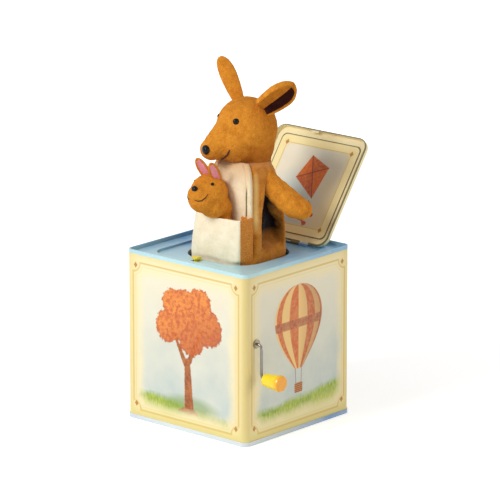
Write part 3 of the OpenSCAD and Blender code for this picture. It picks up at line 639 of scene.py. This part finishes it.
def fused(name, blobs, voxel, smoothing, place=Matrix.Identity(4)):
    """One closed soft form from overlapping ellipsoids: (centre, radii) or (centre, radii, turn)."""
    bm = bmesh.new()
    for center, radii, *turn in blobs:
        turn = Euler([radians(a) for a in (*turn, (0, 0, 0))[0]]).to_matrix().to_4x4()
        size = Matrix.Diagonal(Vector((*(Vector(radii) * MM), 1)))
        bmesh.ops.create_icosphere(bm, subdivisions=4, radius=1.0,
                                   matrix=Matrix.Translation(Vector(center) * MM) @ turn @ size)
    bmesh.ops.transform(bm, matrix=place, verts=bm.verts)
    mesh = bpy.data.meshes.new(name)
    bm.to_mesh(mesh)
    bm.free()
    return modified(linked(name, mesh), remesh(voxel),
                          ("SMOOTH", {"factor": 0.6, "iterations": smoothing}))


def nap(obj, depth):
    """Uneven pile: moves every vertex along its normal by a noise of about depth millimetres."""
    moved = []
    for vertex in obj.data.vertices:
        point = vertex.co / MM
        step = depth * (noise.noise(point * 0.55) + 0.7 * noise.noise(point * 1.3))
        moved.append((point + vertex.normal * step) * MM)
    for vertex, co in zip(obj.data.vertices, moved):
        vertex.co = co
    obj.data.update()


def padded_cloth(obj, voxel, cap):
    """Gives obj the sags, up to cap mm, that cloth under inner pressure gets on a coarse copy."""
    frames, neighbours = 20, 6
    pad = linked(obj.name + "_pad", obj.data.copy())
    modified(pad, remesh(voxel))
    cloth = configure(pad.modifiers.new("cloth", "CLOTH").settings, quality=4, mass=0.2,
                      tension_stiffness=12, compression_stiffness=12, bending_stiffness=0.2,
                      use_pressure=True, uniform_pressure_force=4)
    cloth.effector_weights.gravity = 0
    rest = [v.co.copy() for v in pad.data.vertices]
    for step in range(1, frames + 1):
        scene.frame_set(step)
        shape = pad.evaluated_get(bpy.context.evaluated_depsgraph_get()).data
    moves = [v.co - co for v, co in zip(shape.vertices, rest)]
    scene.frame_set(1)
    normals = [v.normal.copy() for v in pad.data.vertices]
    swell = sum(move.dot(normal) for move, normal in zip(moves, normals)) / len(moves)
    moves = [move - normal * swell for move, normal in zip(moves, normals)]
    tree = KDTree(len(rest))
    for i, co in enumerate(rest):
        tree.insert(co, i)
    tree.balance()
    for vertex in obj.data.vertices:
        near = tree.find_n(vertex.co, neighbours)
        weights = [1 / (d + 0.4 * voxel * MM) for _, _, d in near]
        move = sum((moves[i] * w for (_, i, _), w in zip(near, weights)), Vector()) / sum(weights)
        if move.length > cap * MM:
            move = move.normalized() * cap * MM
        vertex.co += move
    obj.data.update()
    bpy.data.objects.remove(pad)


def sewn(obj, pile, cap=None, voxel=4, finer=True):
    """A soft piece with the sags of cloth up to cap mm, a finer mesh and uneven pile."""
    if cap:
        padded_cloth(obj, voxel, cap)
    if finer:
        modified(obj, FINER)
    nap(obj, pile)
    return obj


def turned(center, angle):
    """A frame at center, turned about +Z, in metres."""
    return Matrix.Translation(Vector(center) * MM) @ Matrix.Rotation(angle, 4, "Z")


def dress(obj, material, body, replaces=()):
    """Gives a piece its material and body, and hides the CAD nodes it stands for."""
    obj.data.materials.clear()
    obj.data.materials.append(material)
    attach(obj, body)
    if replaces:
        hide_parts(*replaces)
    return obj


def soften(obj, anchor_z, keep=SQUASH_KEEP):
    """Gives the piece its own copy of its mesh."""
    anchor_z * MM
    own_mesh(obj)


def cushion(obj, material, body, replaces, anchor_z=None):
    """A padded piece, dressed, with its own mesh when anchor_z is given."""
    dress(obj, material, body, replaces)
    if anchor_z is not None:
        soften(obj, anchor_z)


def loft(name, rings):
    """A closed skin through rings of equally many points, capped at both ends."""
    count = len(rings[0])
    last = (len(rings) - 1) * count
    faces = []
    for i in range(0, last, count):
        for k in range(count):
            n = (k + 1) % count
            faces.append((i + k, i + n, i + count + n, i + count + k))
    faces += [tuple(range(count - 1, -1, -1)), tuple(range(last, last + count))]
    return new_object(name, [p for ring in rings for p in ring], faces)


def tube(name, points, radius, sides=8):
    """A round thread or wire through points, with tapered ends."""
    points = [Vector(p) for p in points]
    rings = []
    for i, point in enumerate(points):
        ahead = (points[min(i + 1, len(points) - 1)] - points[max(i - 1, 0)]).normalized()
        side = ahead.cross(Vector((0.3, 0.2, 0.93))).normalized()
        up = side.cross(ahead)
        r = radius * (0.45 if i in (0, len(points) - 1) else 1)
        angles = (k * 2 * pi / sides for k in range(sides))
        rings.append([point + side * r * cos(a) + up * r * sin(a) for a in angles])
    return loft(name, rings)


def bell(x, middle, width):
    return exp(-((x - middle) / width) ** 2)


def unit(x):
    """x held between 0 and 1."""
    return min(1, max(0, x))


def ease(a, b, x):
    t = unit((x - a) / (b - a))
    return t * t * (3 - 2 * t)


def mix(a, b, t):
    return a + (b - a) * t


# ---- kangaroo's head

HEAD_PLACE = turned(SKULL, -HEAD_TURN)
HEAD_BLOBS = [
    ((0, 1, -1.7), (27.8, 27.8, 28.2)),
    ((0, 4.5, -17), (22.3, 22.3, 23.5)), ((0, 1, -33), (23.3, 21.8, 8.5)),
    ((0, -17.8, -7.5), (16.5, 17.3, 17.3)),
    ((9, -17, -13.5), (13.5, 17.5, 16)),
    ((-9, -17, -13.5), (13.5, 17.5, 16)),
    ((0, -28.3, -13.6), (14.5, 14, 14)),
    ((0.8, -38, -16.4), (11.4, 9.9, 9.9)),
]


def ear_outline(t, base, widest):
    """Share of the full width at t along an ear: narrow base, widest part, round tip."""
    if t < widest:
        return base + (1 - base) * sin(pi / 2 * t / widest)
    return sqrt(max(0, 1 - ((t - widest) / (1 - widest)) ** 2))


def ear(name, length, radius, curl, thick, base, widest, inset=0, rise=0):
    """A padded ear along +Z, its hollow towards -Y, its rims at the two angles of curl."""
    across, along, thinnest, same = 20, 26, 0.05, 0.00002
    far_round = 1.6  # a rim past this is trimmed near the root
    low, high = (radians(a) for a in curl)
    rings = []
    for i in range(along + 1):
        t = (1 - (1 - i / along) ** 1.6) * (1 - inset / length)
        share = max(ear_outline(t, base, widest), thinnest)
        rim = low * (0.2 + 0.8 * ease(0.04, 0.34, t)) if low > far_round else low
        ring = []
        for side in (1, -1):
            for k in range(across + 1):
                s = k / across if side > 0 else 1 - k / across
                angle = mix(-rim, high, s)
                body = thick / 2 * sqrt(max(0, 1 - (2 * s - 1) ** 4)) * min(1, 0.35 + share)
                body *= 1 + 0.25 * bell(abs(2 * s - 1), 0.82, 0.12)
                shift = side * body - rise
                ring.append(((radius * share + shift) * sin(angle),
                             -radius * share * (1 - cos(angle)) + shift * cos(angle), length * t))
        rings.append(ring)
    made = loft(name, rings)
    bm = bmesh.new()
    bm.from_mesh(made.data)
    bmesh.ops.remove_doubles(bm, verts=bm.verts, dist=same)
    bmesh.ops.recalc_face_normals(bm, faces=bm.faces)
    bm.to_mesh(made.data)
    bm.free()
    return modified(made, FINER)


def place_ear(obj, origin, base, tip, hollow):
    """Sets an ear on base, pointing along tip, its hollow towards hollow; all in origin's own frame."""
    z = Vector(tip).normalized()
    y = -(Vector(hollow) - z * Vector(hollow).dot(z)).normalized()
    x = y.cross(z)
    turn = Matrix((x, y, z)).transposed().to_4x4()
    obj.data.transform(origin @ Matrix.Translation(Vector(base) * MM) @ turn)
    obj.data.update()
    return obj


def lined_ear(plush, leaf, lining_cloth, lining, head, place, body, nodes, pile, anchor):
    """A brown ear and its lining, dressed, each with its own mesh."""
    leaf, lining = (place_ear(ear(*shape), head, *place) for shape in (leaf, lining))
    nap(leaf, pile)
    cushion(leaf, plush, body, nodes)
    dress(lining, lining_cloth, body)
    for obj in (leaf, lining):
        soften(obj, *anchor)


def seated(obj, place, target, centre, sink):
    """The sunk point of obj's surface under target, seen from centre in place's frame, and its normal."""
    out, clear = (Vector(target) - Vector(centre)).normalized(), 30
    start = (place @ ((Vector(target) + out * clear) * MM)) / MM
    tree = BVHTree.FromObject(obj, bpy.context.evaluated_depsgraph_get())
    hit, normal, _, _ = tree.ray_cast(start * MM, place.to_3x3() @ -out)
    return hit / MM - normal * sink, normal


def face(m, head, place, body, eyes, nose, mouth):
    """Bead eyes, a bead nose and a mouth stitched on either side: eyes, nose, both stitches."""
    name, node, (x, y, z), centre, sinks, radius, voxel = eyes
    blobs = [(seated(head, place, (x * side, y, z), centre, sink)[0], (radius,) * 3)
             for side, sink in zip((-1, 1), sinks)]
    made = [dress(fused(name, blobs, voxel, 1), m["bead"], body, [node])]
    name, node, target, centre, radii, turn, voxel = nose
    blobs = [(seated(head, place, target, centre, 0.6)[0], radii, (0, 0, turn))]
    made.append(dress(fused(name, blobs, voxel, 2), m["bead"], body, [node]))
    name, path, centre, lift, radius = mouth
    for end, side in (("right", -1), ("left", 1)):
        line = [point + normal * lift for point, normal in
                (seated(head, place, (x * side, y, z), centre, 0) for x, y, z in path)]
        made.append(dress(tube(f"{name}_{end}", line, radius), m["thread"], body))
    return made


def build_head(m):
    head = sewn(fused("kangaroo_head", HEAD_BLOBS, 1.6, 10, HEAD_PLACE), 0.28, 1.2)
    cushion(head, m["head"], "puppet", ["head"])
    lips = ((17.2, -29.6, -14.5), (16.6, -30.2, -17), (15.4, -30.8, -19.8), (13.2, -31.2, -22.4),
            (10.2, -31.4, -25), (6.5, -31.6, -27))
    face(m, head, HEAD_PLACE, "puppet",
         ("kangaroo_eyes", "eyes", (13.8, -20.2, 9.2), (0, 0, 0), (1.9, 0.3), 2.9, 0.35),
         ("kangaroo_nose", "nose", (4.4, -46, -14.8), (0.8, -36, -16), (4.5, 3.3, 4.4), -20, 0.4),
         ("mouth_stitch", lips, (0, -29, -15), 0.2, 0.85))


def build_ears(m):
    for name, place, shape, inner, height in (
            ("up", ((-16.3, 5.2, 15.8), (-0.40, -0.20, 0.90), (-0.7, 0.7, 0)),
             (47, 10.2, (50, 50), 3.4, 0.54, 0.62), (47, 10.2, (34, 34), 1, 0.54, 0.62, 4, 2), 18.5),
            ("out", ((11.5, 4.8, 15.3), (0.74, 0.33, 0.64), (0.56, -0.66, -0.42)),
             (48, 12.8, (112, 66), 3.6, 0.6, 0.68), (48, 12.8, (-8, 56), 1, 0.6, 0.68, 4, 2.1), 20)):
        # the ear's dark lining is partly painted shade in its hollow
        lined_ear(m["plush"], (f"ear_{name}", *shape), m["ear_lining_and_shade"], (f"ear_lining_{name}", *inner),
                  HEAD_PLACE, place, "puppet", [f"{name}_ear"], 0.2,
                  (SKULL.z + height, 0.35))


# ---- kangaroo's body


def body_section(z):
    """Half width, front y, back y, front and back corner radius of the cloth body at a height."""
    table = [
        (FLOOR_Z + 1, 34, -34, 34, 20, 20), (120, 34, -34, 34, 19, 19), (146, 35, -34, 35, 15, 16),
        (150, 35.5, -31, 35.5, 10, 13), (157, 34.5, -17, 35, 6, 11), (175, 33.5, -15.5, 33, 6, 10.5),
        (192, 32.5, -15.5, 31.5, 6, 10), (210, 31.8, -15.5, 28.5, 6, 10), (222, 31.2, -15.3, 25.5, 6, 10),
        (231, 30.2, -14.8, 21.5, 6, 10), (236, 27.5, -13.5, 18.5, 7, 9), (BODY_TOP, 22, -10, 15, 8, 8),
    ]
    for low, high in zip(table, table[1:]):
        if z <= high[0]:
            t = (z - low[0]) / (high[0] - low[0])
            return [mix(a, b, t) for a, b in zip(low[1:], high[1:])]
    return list(table[-1][1:])


def rounded_ring(corners, count):
    """Even points round a polygon of (x, y, radius) corners, from the middle of its first side."""
    path, steps = [], 8
    for k, (x, y, radius) in enumerate(corners):
        here = Vector((x, y))
        before = (Vector(corners[k - 1][:2]) - here).normalized()
        after = (Vector(corners[(k + 1) % len(corners)][:2]) - here).normalized()
        half = acos(max(-1, min(1, before.dot(after)))) / 2
        cut = radius / tan(half)
        centre = here + (before + after).normalized() * (radius / sin(half))
        a, b = here + before * cut - centre, here + after * cut - centre
        sweep = a.angle_signed(b) if radius > 0.01 else 0
        for i in range(steps + 1):
            angle = sweep * i / steps
            path.append(centre + Vector((a.x * cos(angle) + a.y * sin(angle),
                                         -a.x * sin(angle) + a.y * cos(angle))))
    first = (path[-1] + path[0]) / 2
    path = [first, *path, first]
    lengths = [0]
    for a, b in zip(path, path[1:]):
        lengths.append(lengths[-1] + (b - a).length)
    points, leg = [], 0
    for k in range(count):
        s = lengths[-1] * k / count
        while lengths[leg + 1] < s:
            leg += 1
        span = max(lengths[leg + 1] - lengths[leg], 1e-9)
        points.append(path[leg].lerp(path[leg + 1], (s - lengths[leg]) / span))
    return [(p.x, p.y) for p in points]


def left_corner(z):
    """Radius of the body's front corner on its right-hand side, which is far rounder than the other."""
    _, front, back, near, far = body_section(z)
    return max(near, min(8 + 14 * unit((z - 150) / 82), back - front - far - 1))


def body_ring(z, count=132):
    half, front, back, near, far = body_section(z)
    return rounded_ring([(half, front, near), (half, back, far), (-half, back, far),
                         (-half, front, left_corner(z))], count)


def bib_edge(z):
    return mix(-26, -14, unit((z - 190) / 53))


def fold_mask(y, z):
    """1 inside the dark fold under each arm, 0 outside: a narrow triangle that widens downwards."""
    left = mix(-2, 3, ease(180, 218, z))
    right = mix(24, 5.5, ease(182, 218, z))
    inside = ease(left - 2.5, left + 1.5, y) * (1 - ease(right - 1.5, right + 2.5, y))
    return inside * (1 - ease(214, 222, z)) * ease(156, 170, z)


def build_body(m):
    rings = []
    low, high = [FLOOR_Z + 1 + 6 * i for i in range(24)], [147 + 2.2 * i for i in range(43)]
    for z in low + high:
        ring = []
        for x, y in body_ring(z):
            if y > 10:  # room for the wooden disc in the neck
                y += 7.5 * max(0, 1 - (x / 27) ** 2) * ease(205, 222, z)
            deep = 13 * fold_mask(y, z) if abs(x) > 20 else 0
            gathers = 0.8 * sin(0.42 * x + 0.37 * y + 1.3 * sin(z * 0.05)) * ease(205, 160, z)
            soft = deep + gathers + 1.2 * noise.noise(Vector((x, y, z)) * 0.045)
            out = Vector((copysign(1, x), 0)) if deep > 0.3 else Vector((x, y - 8)).normalized()
            ring.append((x - out.x * soft, y - out.y * soft, z))
        rings.append(ring)
    body = sewn(loft("cloth_body", rings), 0.22, 1, 5)
    cushion(body, m["body"], "box", ["body_cloth"], FLOOR_Z)
    sleeve = (((23.5, 9.5, 223), (10, 9.5, 10)), ((29, 11, 217.5), (10.5, 10, 11)),
              ((35, 14.3, 211.5), (10.5, 11, 11.3)), ((41.5, 17.8, 205.2), (10.5, 11.8, 11.8)),
              ((47.7, 21, 199.8), (10, 11.6, 11.6)), ((53.5, 25, 196.6), (9.5, 9.8, 9.6)))
    for side, name, node in ((1, "arm_left", "left_arm"), (-1, "arm_right", "right_arm")):
        arm = fused(name, [((x * side, y, z), radii) for (x, y, z), radii in sleeve], 1.5, 10)
        sewn(arm, 0.28, 1.5, finer=False)
        cushion(arm, m["plush"], "box", [node], FLOOR_Z)


def build_bib(m):
    columns, rows, thick = 60, 34, 1.2
    front, back = [], []
    for i in range(rows + 1):
        z = mix(BIB_HEM, BODY_TOP, i / rows)
        half, y_front, *_ = body_section(z)
        left, right, corner = bib_edge(z), min(half - 1.6, 29.8), left_corner(z)
        for k in range(columns + 1):
            x = mix(left, right, k / columns)
            edge = -min(x - left, right - x)
            past = max(0, -half + corner - x)
            y = y_front + corner - sqrt(max(corner * corner - past * past, 0))
            back.append((x, y + thick, z))
            crease = 1.9 * bell(edge, -5.8, 0.9) - 0.8 * bell(edge, -2.8, 2)
            swell = 0.9 * sin((x + 8) * 0.22 + z * 0.02) * ease(-7, -10, edge)
            front.append((x, y - 1.5 + crease - 0.7 * swell, z))
    row, total = columns + 1, len(front)
    faces = []
    for start in range(0, rows * row, row):
        for a in range(start, start + columns):
            b, c, d = a + 1, a + row + 1, a + row
            faces += [(a, b, c, d), (total + a, total + d, total + c, total + b)]
        a, b = start, start + columns
        faces += [(a, a + row, total + a + row, total + a), (b, total + b, total + b + row, b + row)]
    for k in range(columns):
        a = rows * row + k
        faces += [(k, total + k, total + k + 1, k + 1), (a, a + 1, total + a + 1, total + a)]
    bib = sewn(new_object("bib_panel", front + back, faces), 0.12)
    cushion(bib, m["bib"], "box", ["bib"], FLOOR_Z)


def pouch_ring(t, z, grow, count):
    """The pocket's outline at t from hem to rim: a sharp seam at its left, a full curve at its right."""
    right, left, back = 32 + grow, -33 - grow, -15.2 + grow
    front = -34.6 - 0.9 * sin(pi * t) - grow + 0.7 * ease(154, 152, z)
    slack = mix(1.5, 4.5, t)
    curve = mix(14, 20, ease(0, 1, t))
    seam = mix(2.2, 12, ease(157, 152, z))
    return rounded_ring([(right, front, seam), (right, back, 2), (left, back, 2),
                         (left, front + slack, curve - 4)], count)


def build_pouch(m):
    """A padded pocket: crowned front panel, brown gusset at its sides."""
    count, rise, turned_in, wall = 120, 26, 7, 1.7

    def facing(y):
        return ease(-24, -30, y)

    def dip(x):
        return 1.2 * bell(x, -4, 16)

    rings = []
    for i in range(rise + 1):
        t = i / rise
        z = mix(POUCH_HEM, POUCH_RIM, t)
        ring = []
        for x, y in pouch_ring(t, z, 0, count):
            sag = dip(x) * ease(0.8, 1, t) * facing(y)
            wrinkle = 0.45 * sin(0.30 * x + 2 * sin(z * 0.09)) * facing(y)
            pleat = 0.5 * sin(0.9 * y + 0.03 * z) * (1 - facing(y))
            ring.append((x + copysign(pleat, x) * (abs(x) > 30), y + wrinkle, z - sag))
        rings.append(ring)
    for i in range(turned_in + 1):
        t = 1 - i / turned_in * 0.4
        z = mix(POUCH_HEM, POUCH_RIM, t) - 0.3
        rings.append([(x, y, z - dip(x) * (1 - i / turned_in) * facing(y))
                      for x, y in pouch_ring(t, z, -wall, count)])
    pouch = sewn(loft("pouch_pocket", rings), 0.14, 0.9, 3)
    cushion(pouch, m["pouch"], "box", ["pouch"], FLOOR_Z)


# ---- joey

JOEY_PLACE = turned(JOEY, -JOEY_TURN)


def build_joey(m):
    skull = [((0, 2, 0.5), (17.2, 16.8, 17.2)), ((0, -7, -2.5), (13.4, 12.4, 13.4)),
             ((0, -13.5, 2.3), (8.8, 8, 8)), ((3.5, 4, -9), (15, 13, 13))]
    head = fused("joey_head_plush", skull, 1.1, 8, JOEY_PLACE)
    sewn(head, 0.24, 1, 3)
    dress(head, m["plush"], "box", ["joey_head"])
    chest = fused("joey_chest", [((-4, -24.5, 165), (18, 6.8, 14)), ((-3.5, -24.5, 184), (17, 7.2, 20)),
                                 ((-1.5, -24, 200), (14.5, 7, 12))], 1.5, 14)
    nap(chest, 0.2)
    dress(chest, m["plush"], "box", ["joey_body"])
    lips = ((3.2, -20, -1.6), (5.6, -18.4, -2.4), (8.3, -15.9, -1.6), (10.2, -13.4, 0.6), (11, -11, 3.6))
    small = face(m, head, JOEY_PLACE, "box",
                 ("joey_eye_beads", "joey_eyes", (10.8, -4.9, 11.5), (0, 2, 0), (1, 0.2), 1.6, 0.25),
                 ("joey_nose_bead", "joey_nose", (1.3, -18.1, 8.3), (0, -13.5, 2.5), (3.3, 2.6, 3),
                  -10, 0.3),
                 ("joey_mouth_stitch", lips, (0, -7, 0), 0.1, 0.5))
    for name, nodes, place in (
            ("right", (), ((-3.4, 7, 11.5), (-0.26, -0.46, 0.845), (0.62, -0.74, 0.2))),
            ("left", ["joey_ears"], ((6.8, 7, 11.5), (0.12, -0.56, 0.82), (0.72, -0.66, 0.1)))):
        lined_ear(m["plush"], (f"joey_ear_{name}", 24, 6.2, (50, 50), 2, 0.7, 0.5),
                  m["pink"], (f"joey_ear_lining_{name}", 24, 6.2, (34, 34), 0.8, 0.7, 0.5, 2.4, 1.1),
                  JOEY_PLACE, place, "box", nodes, 0.1, (FLOOR_Z,))
    for obj in (head, chest, *small):
        soften(obj, FLOOR_Z)


# ---- spring


def build_spring(m):
    """The coil inside the cloth: ground end turns and an even pitch between them."""
    low, high = node_box("main_spring")
    wire, turns, steps, ground, clearance = 0.8, 11, 28, 0.75, 0.3
    radius, middle = (high.x - low.x) / 2 - wire, (low.y + high.y) / 2
    points = []
    for i in range(turns * steps + 1):
        angle = 2 * pi * (i / steps)
        rise = unit((i / steps - ground) / (turns - 2 * ground))
        points.append((radius * cos(angle), middle + radius * sin(angle),
                       mix(low.z + wire, high.z - wire, rise)))
    coil = tube("main_spring_coil", points, wire, 10)
    dress(coil, m["spring"], "box", ["main_spring"])
    soften(coil, low.z, 1 - (PRESS_DOWN + clearance) / (high.z - low.z))


# ---- CAD nodes that stay


EDGE_ROUNDING = 0.2


def edge_soft(node, width):
    """Rounds the sheet edges of a CAD node with a small bevel."""
    configure(frame["nodes"][node].modifiers.new("soft_edges", "BEVEL"), width=width * MM, segments=2,
              limit_method="ANGLE", angle_limit=radians(40), harden_normals=False)


def materials():
    return dict(
        plush=plush("brown_velour", srgb(242, 162, 54), srgb(178, 100, 22)),
        # head pile with painted shade under the chin and at the back
        head=plush("head_velour", srgb(244, 164, 56), srgb(178, 100, 22), shade_height=SKULL[2]),
        pouch=pouch_material(),
        body=body_material(),
        bib=bib_material(),
        # near-black ear lining, which also stands in as painted shade in the ear's hollow
        ear_lining_and_shade=plush("ear_lining_brown", srgb(70, 30, 26), srgb(34, 13, 14)),
        pink=plush("pink_lining", srgb(250, 176, 184), srgb(230, 130, 150), 0.4),
        bead=bead("black_bead_gloss"),
        thread=thread("brown_thread", srgb(70, 30, 12)),
        steel=metal("plated_steel", (0.56, 0.57, 0.58), 0.32),
        spring=metal("spring_wire", (0.42, 0.42, 0.43), 0.28),
        brass=metal("turned_brass", (0.72, 0.52, 0.22), 0.28),
        chrome=metal("crank_steel", (0.26, 0.24, 0.22), 0.3, 0.6),
        yellow=plastic("yellow_plastic", srgb(252, 222, 20), 0.28, 0.82),
        grip=grip_material(),
        dull=metal("dull_brass", (0.34, 0.29, 0.2), 0.42),
        white=plastic("white_plastic", srgb(236, 232, 222), 0.4),
        wood=wood("turned_birch", srgb(214, 178, 126)),
        blue=tin("blue_ink_tin", srgb(194, 234, 240), 0.8),
        rim=tin("base_rim_tin", srgb(226, 236, 240), 0.88),
        walls=wall_print(),
        panel=lid_panel_print(),
        lid=lid_print(),
    )


def finish_nodes(m):
    for name, nodes in {
        "steel": "hinge_pin movement_frame frame_screws comb comb_screws latch_bracket latch_pin "
                 "seat_screws hem_ring drum_shaft",
        "brass": "pinion crank_collar drum drum_gear", "dull": "wall_bushing", "chrome": "crank_wire",
        "grip": "crank_grip", "yellow": "latch_lever", "white": "trip_cam", "blue": "top_frame",
        "wood": "spring_seat spring_top", "rim": "bottom_tray", "walls": "side_walls",
        "panel": "lid_panel", "lid": "lid_shell",
    }.items():
        for node in nodes.split():
            mesh = frame["nodes"][node].data
            mesh.materials.clear()
            mesh.materials.append(m[name])


# ---- studio


LAMPS = (  # place and size in metres, watts, colour
    ("key_light", (-0.35, -1.6, 1.3), 0.7, 25, (1, 1, 1)),
    ("side_light", (1.6, 0.72, 0.45), 0.5, 6.5, (1, 0.92, 0.8)),
)
LOOK_AT = Vector((0, 0, 0.16))
SKY_LIGHT, SKY_SEEN = (1, 0.42), (0.8, 1)  # grey and strength, for the object and for the picture
FLOOR_HALF = 4000


def seen_white(tree):
    """1 for rays from the camera, mirrors and glass, 0 for the light that falls on the object."""
    path = tree.nodes.new("ShaderNodeLightPath")
    found = path.outputs["Is Camera Ray"]
    for name in ("Is Glossy Ray", "Is Transmission Ray"):
        most = configure(tree.nodes.new("ShaderNodeMath"), operation="MAXIMUM")
        tree.links.new(found, most.inputs[0])
        tree.links.new(path.outputs[name], most.inputs[1])
        found = most.outputs[0]
    return found


def make_studio():
    h = FLOOR_HALF
    floor = new_object("floor", [(-h, -h, 0), (h, -h, 0), (h, h, 0), (-h, h, 0)], [(0, 1, 2, 3)])
    s = Shade("floor_paper")
    s.set(color=(0.86, 0.86, 0.86), rough=0.9)
    s.bsdf.inputs["Emission Color"].default_value = (1, 1, 1, 1)
    x, y, _ = s.split(s.place)
    glow = Value(s, seen_white(s.tree)) * reach(x, y).ramp(0.15, 1.6, 0.55, 0.95)
    s.plug(glow, s.bsdf.inputs["Emission Strength"])
    floor.data.materials.append(s.material)

    for name, place, size, watts, color in LAMPS:
        lamp = bpy.data.lights.new(name, "AREA")
        configure(lamp, shape="DISK", size=size, energy=watts, color=color)
        aimed(linked(name, lamp), place, LOOK_AT)

    world = bpy.data.worlds.new("studio")
    scene.world = world
    world.use_nodes = True
    tree = world.node_tree
    tree.nodes.clear()
    out = tree.nodes.new("ShaderNodeOutputWorld")
    mixer = tree.nodes.new("ShaderNodeMixShader")
    tree.links.new(seen_white(tree), mixer.inputs[0])
    for (grey, strength), socket in zip((SKY_LIGHT, SKY_SEEN), mixer.inputs[1:]):
        sky = tree.nodes.new("ShaderNodeBackground")
        sky.inputs["Color"].default_value = (grey, grey, grey, 1)
        sky.inputs["Strength"].default_value = strength
        tree.links.new(sky.outputs[0], socket)
    tree.links.new(mixer.outputs[0], out.inputs["Surface"])
    scene.view_settings.view_transform = "Standard"


make_camera()
m = materials()
finish_nodes(m)
for node in ("side_walls", "top_frame", "bottom_tray", "lid_shell", "crank_grip", "latch_lever"):
    edge_soft(node, EDGE_ROUNDING)
build_head(m)
build_ears(m)
build_body(m)
build_bib(m)
build_pouch(m)
build_joey(m)
build_spring(m)
make_studio()
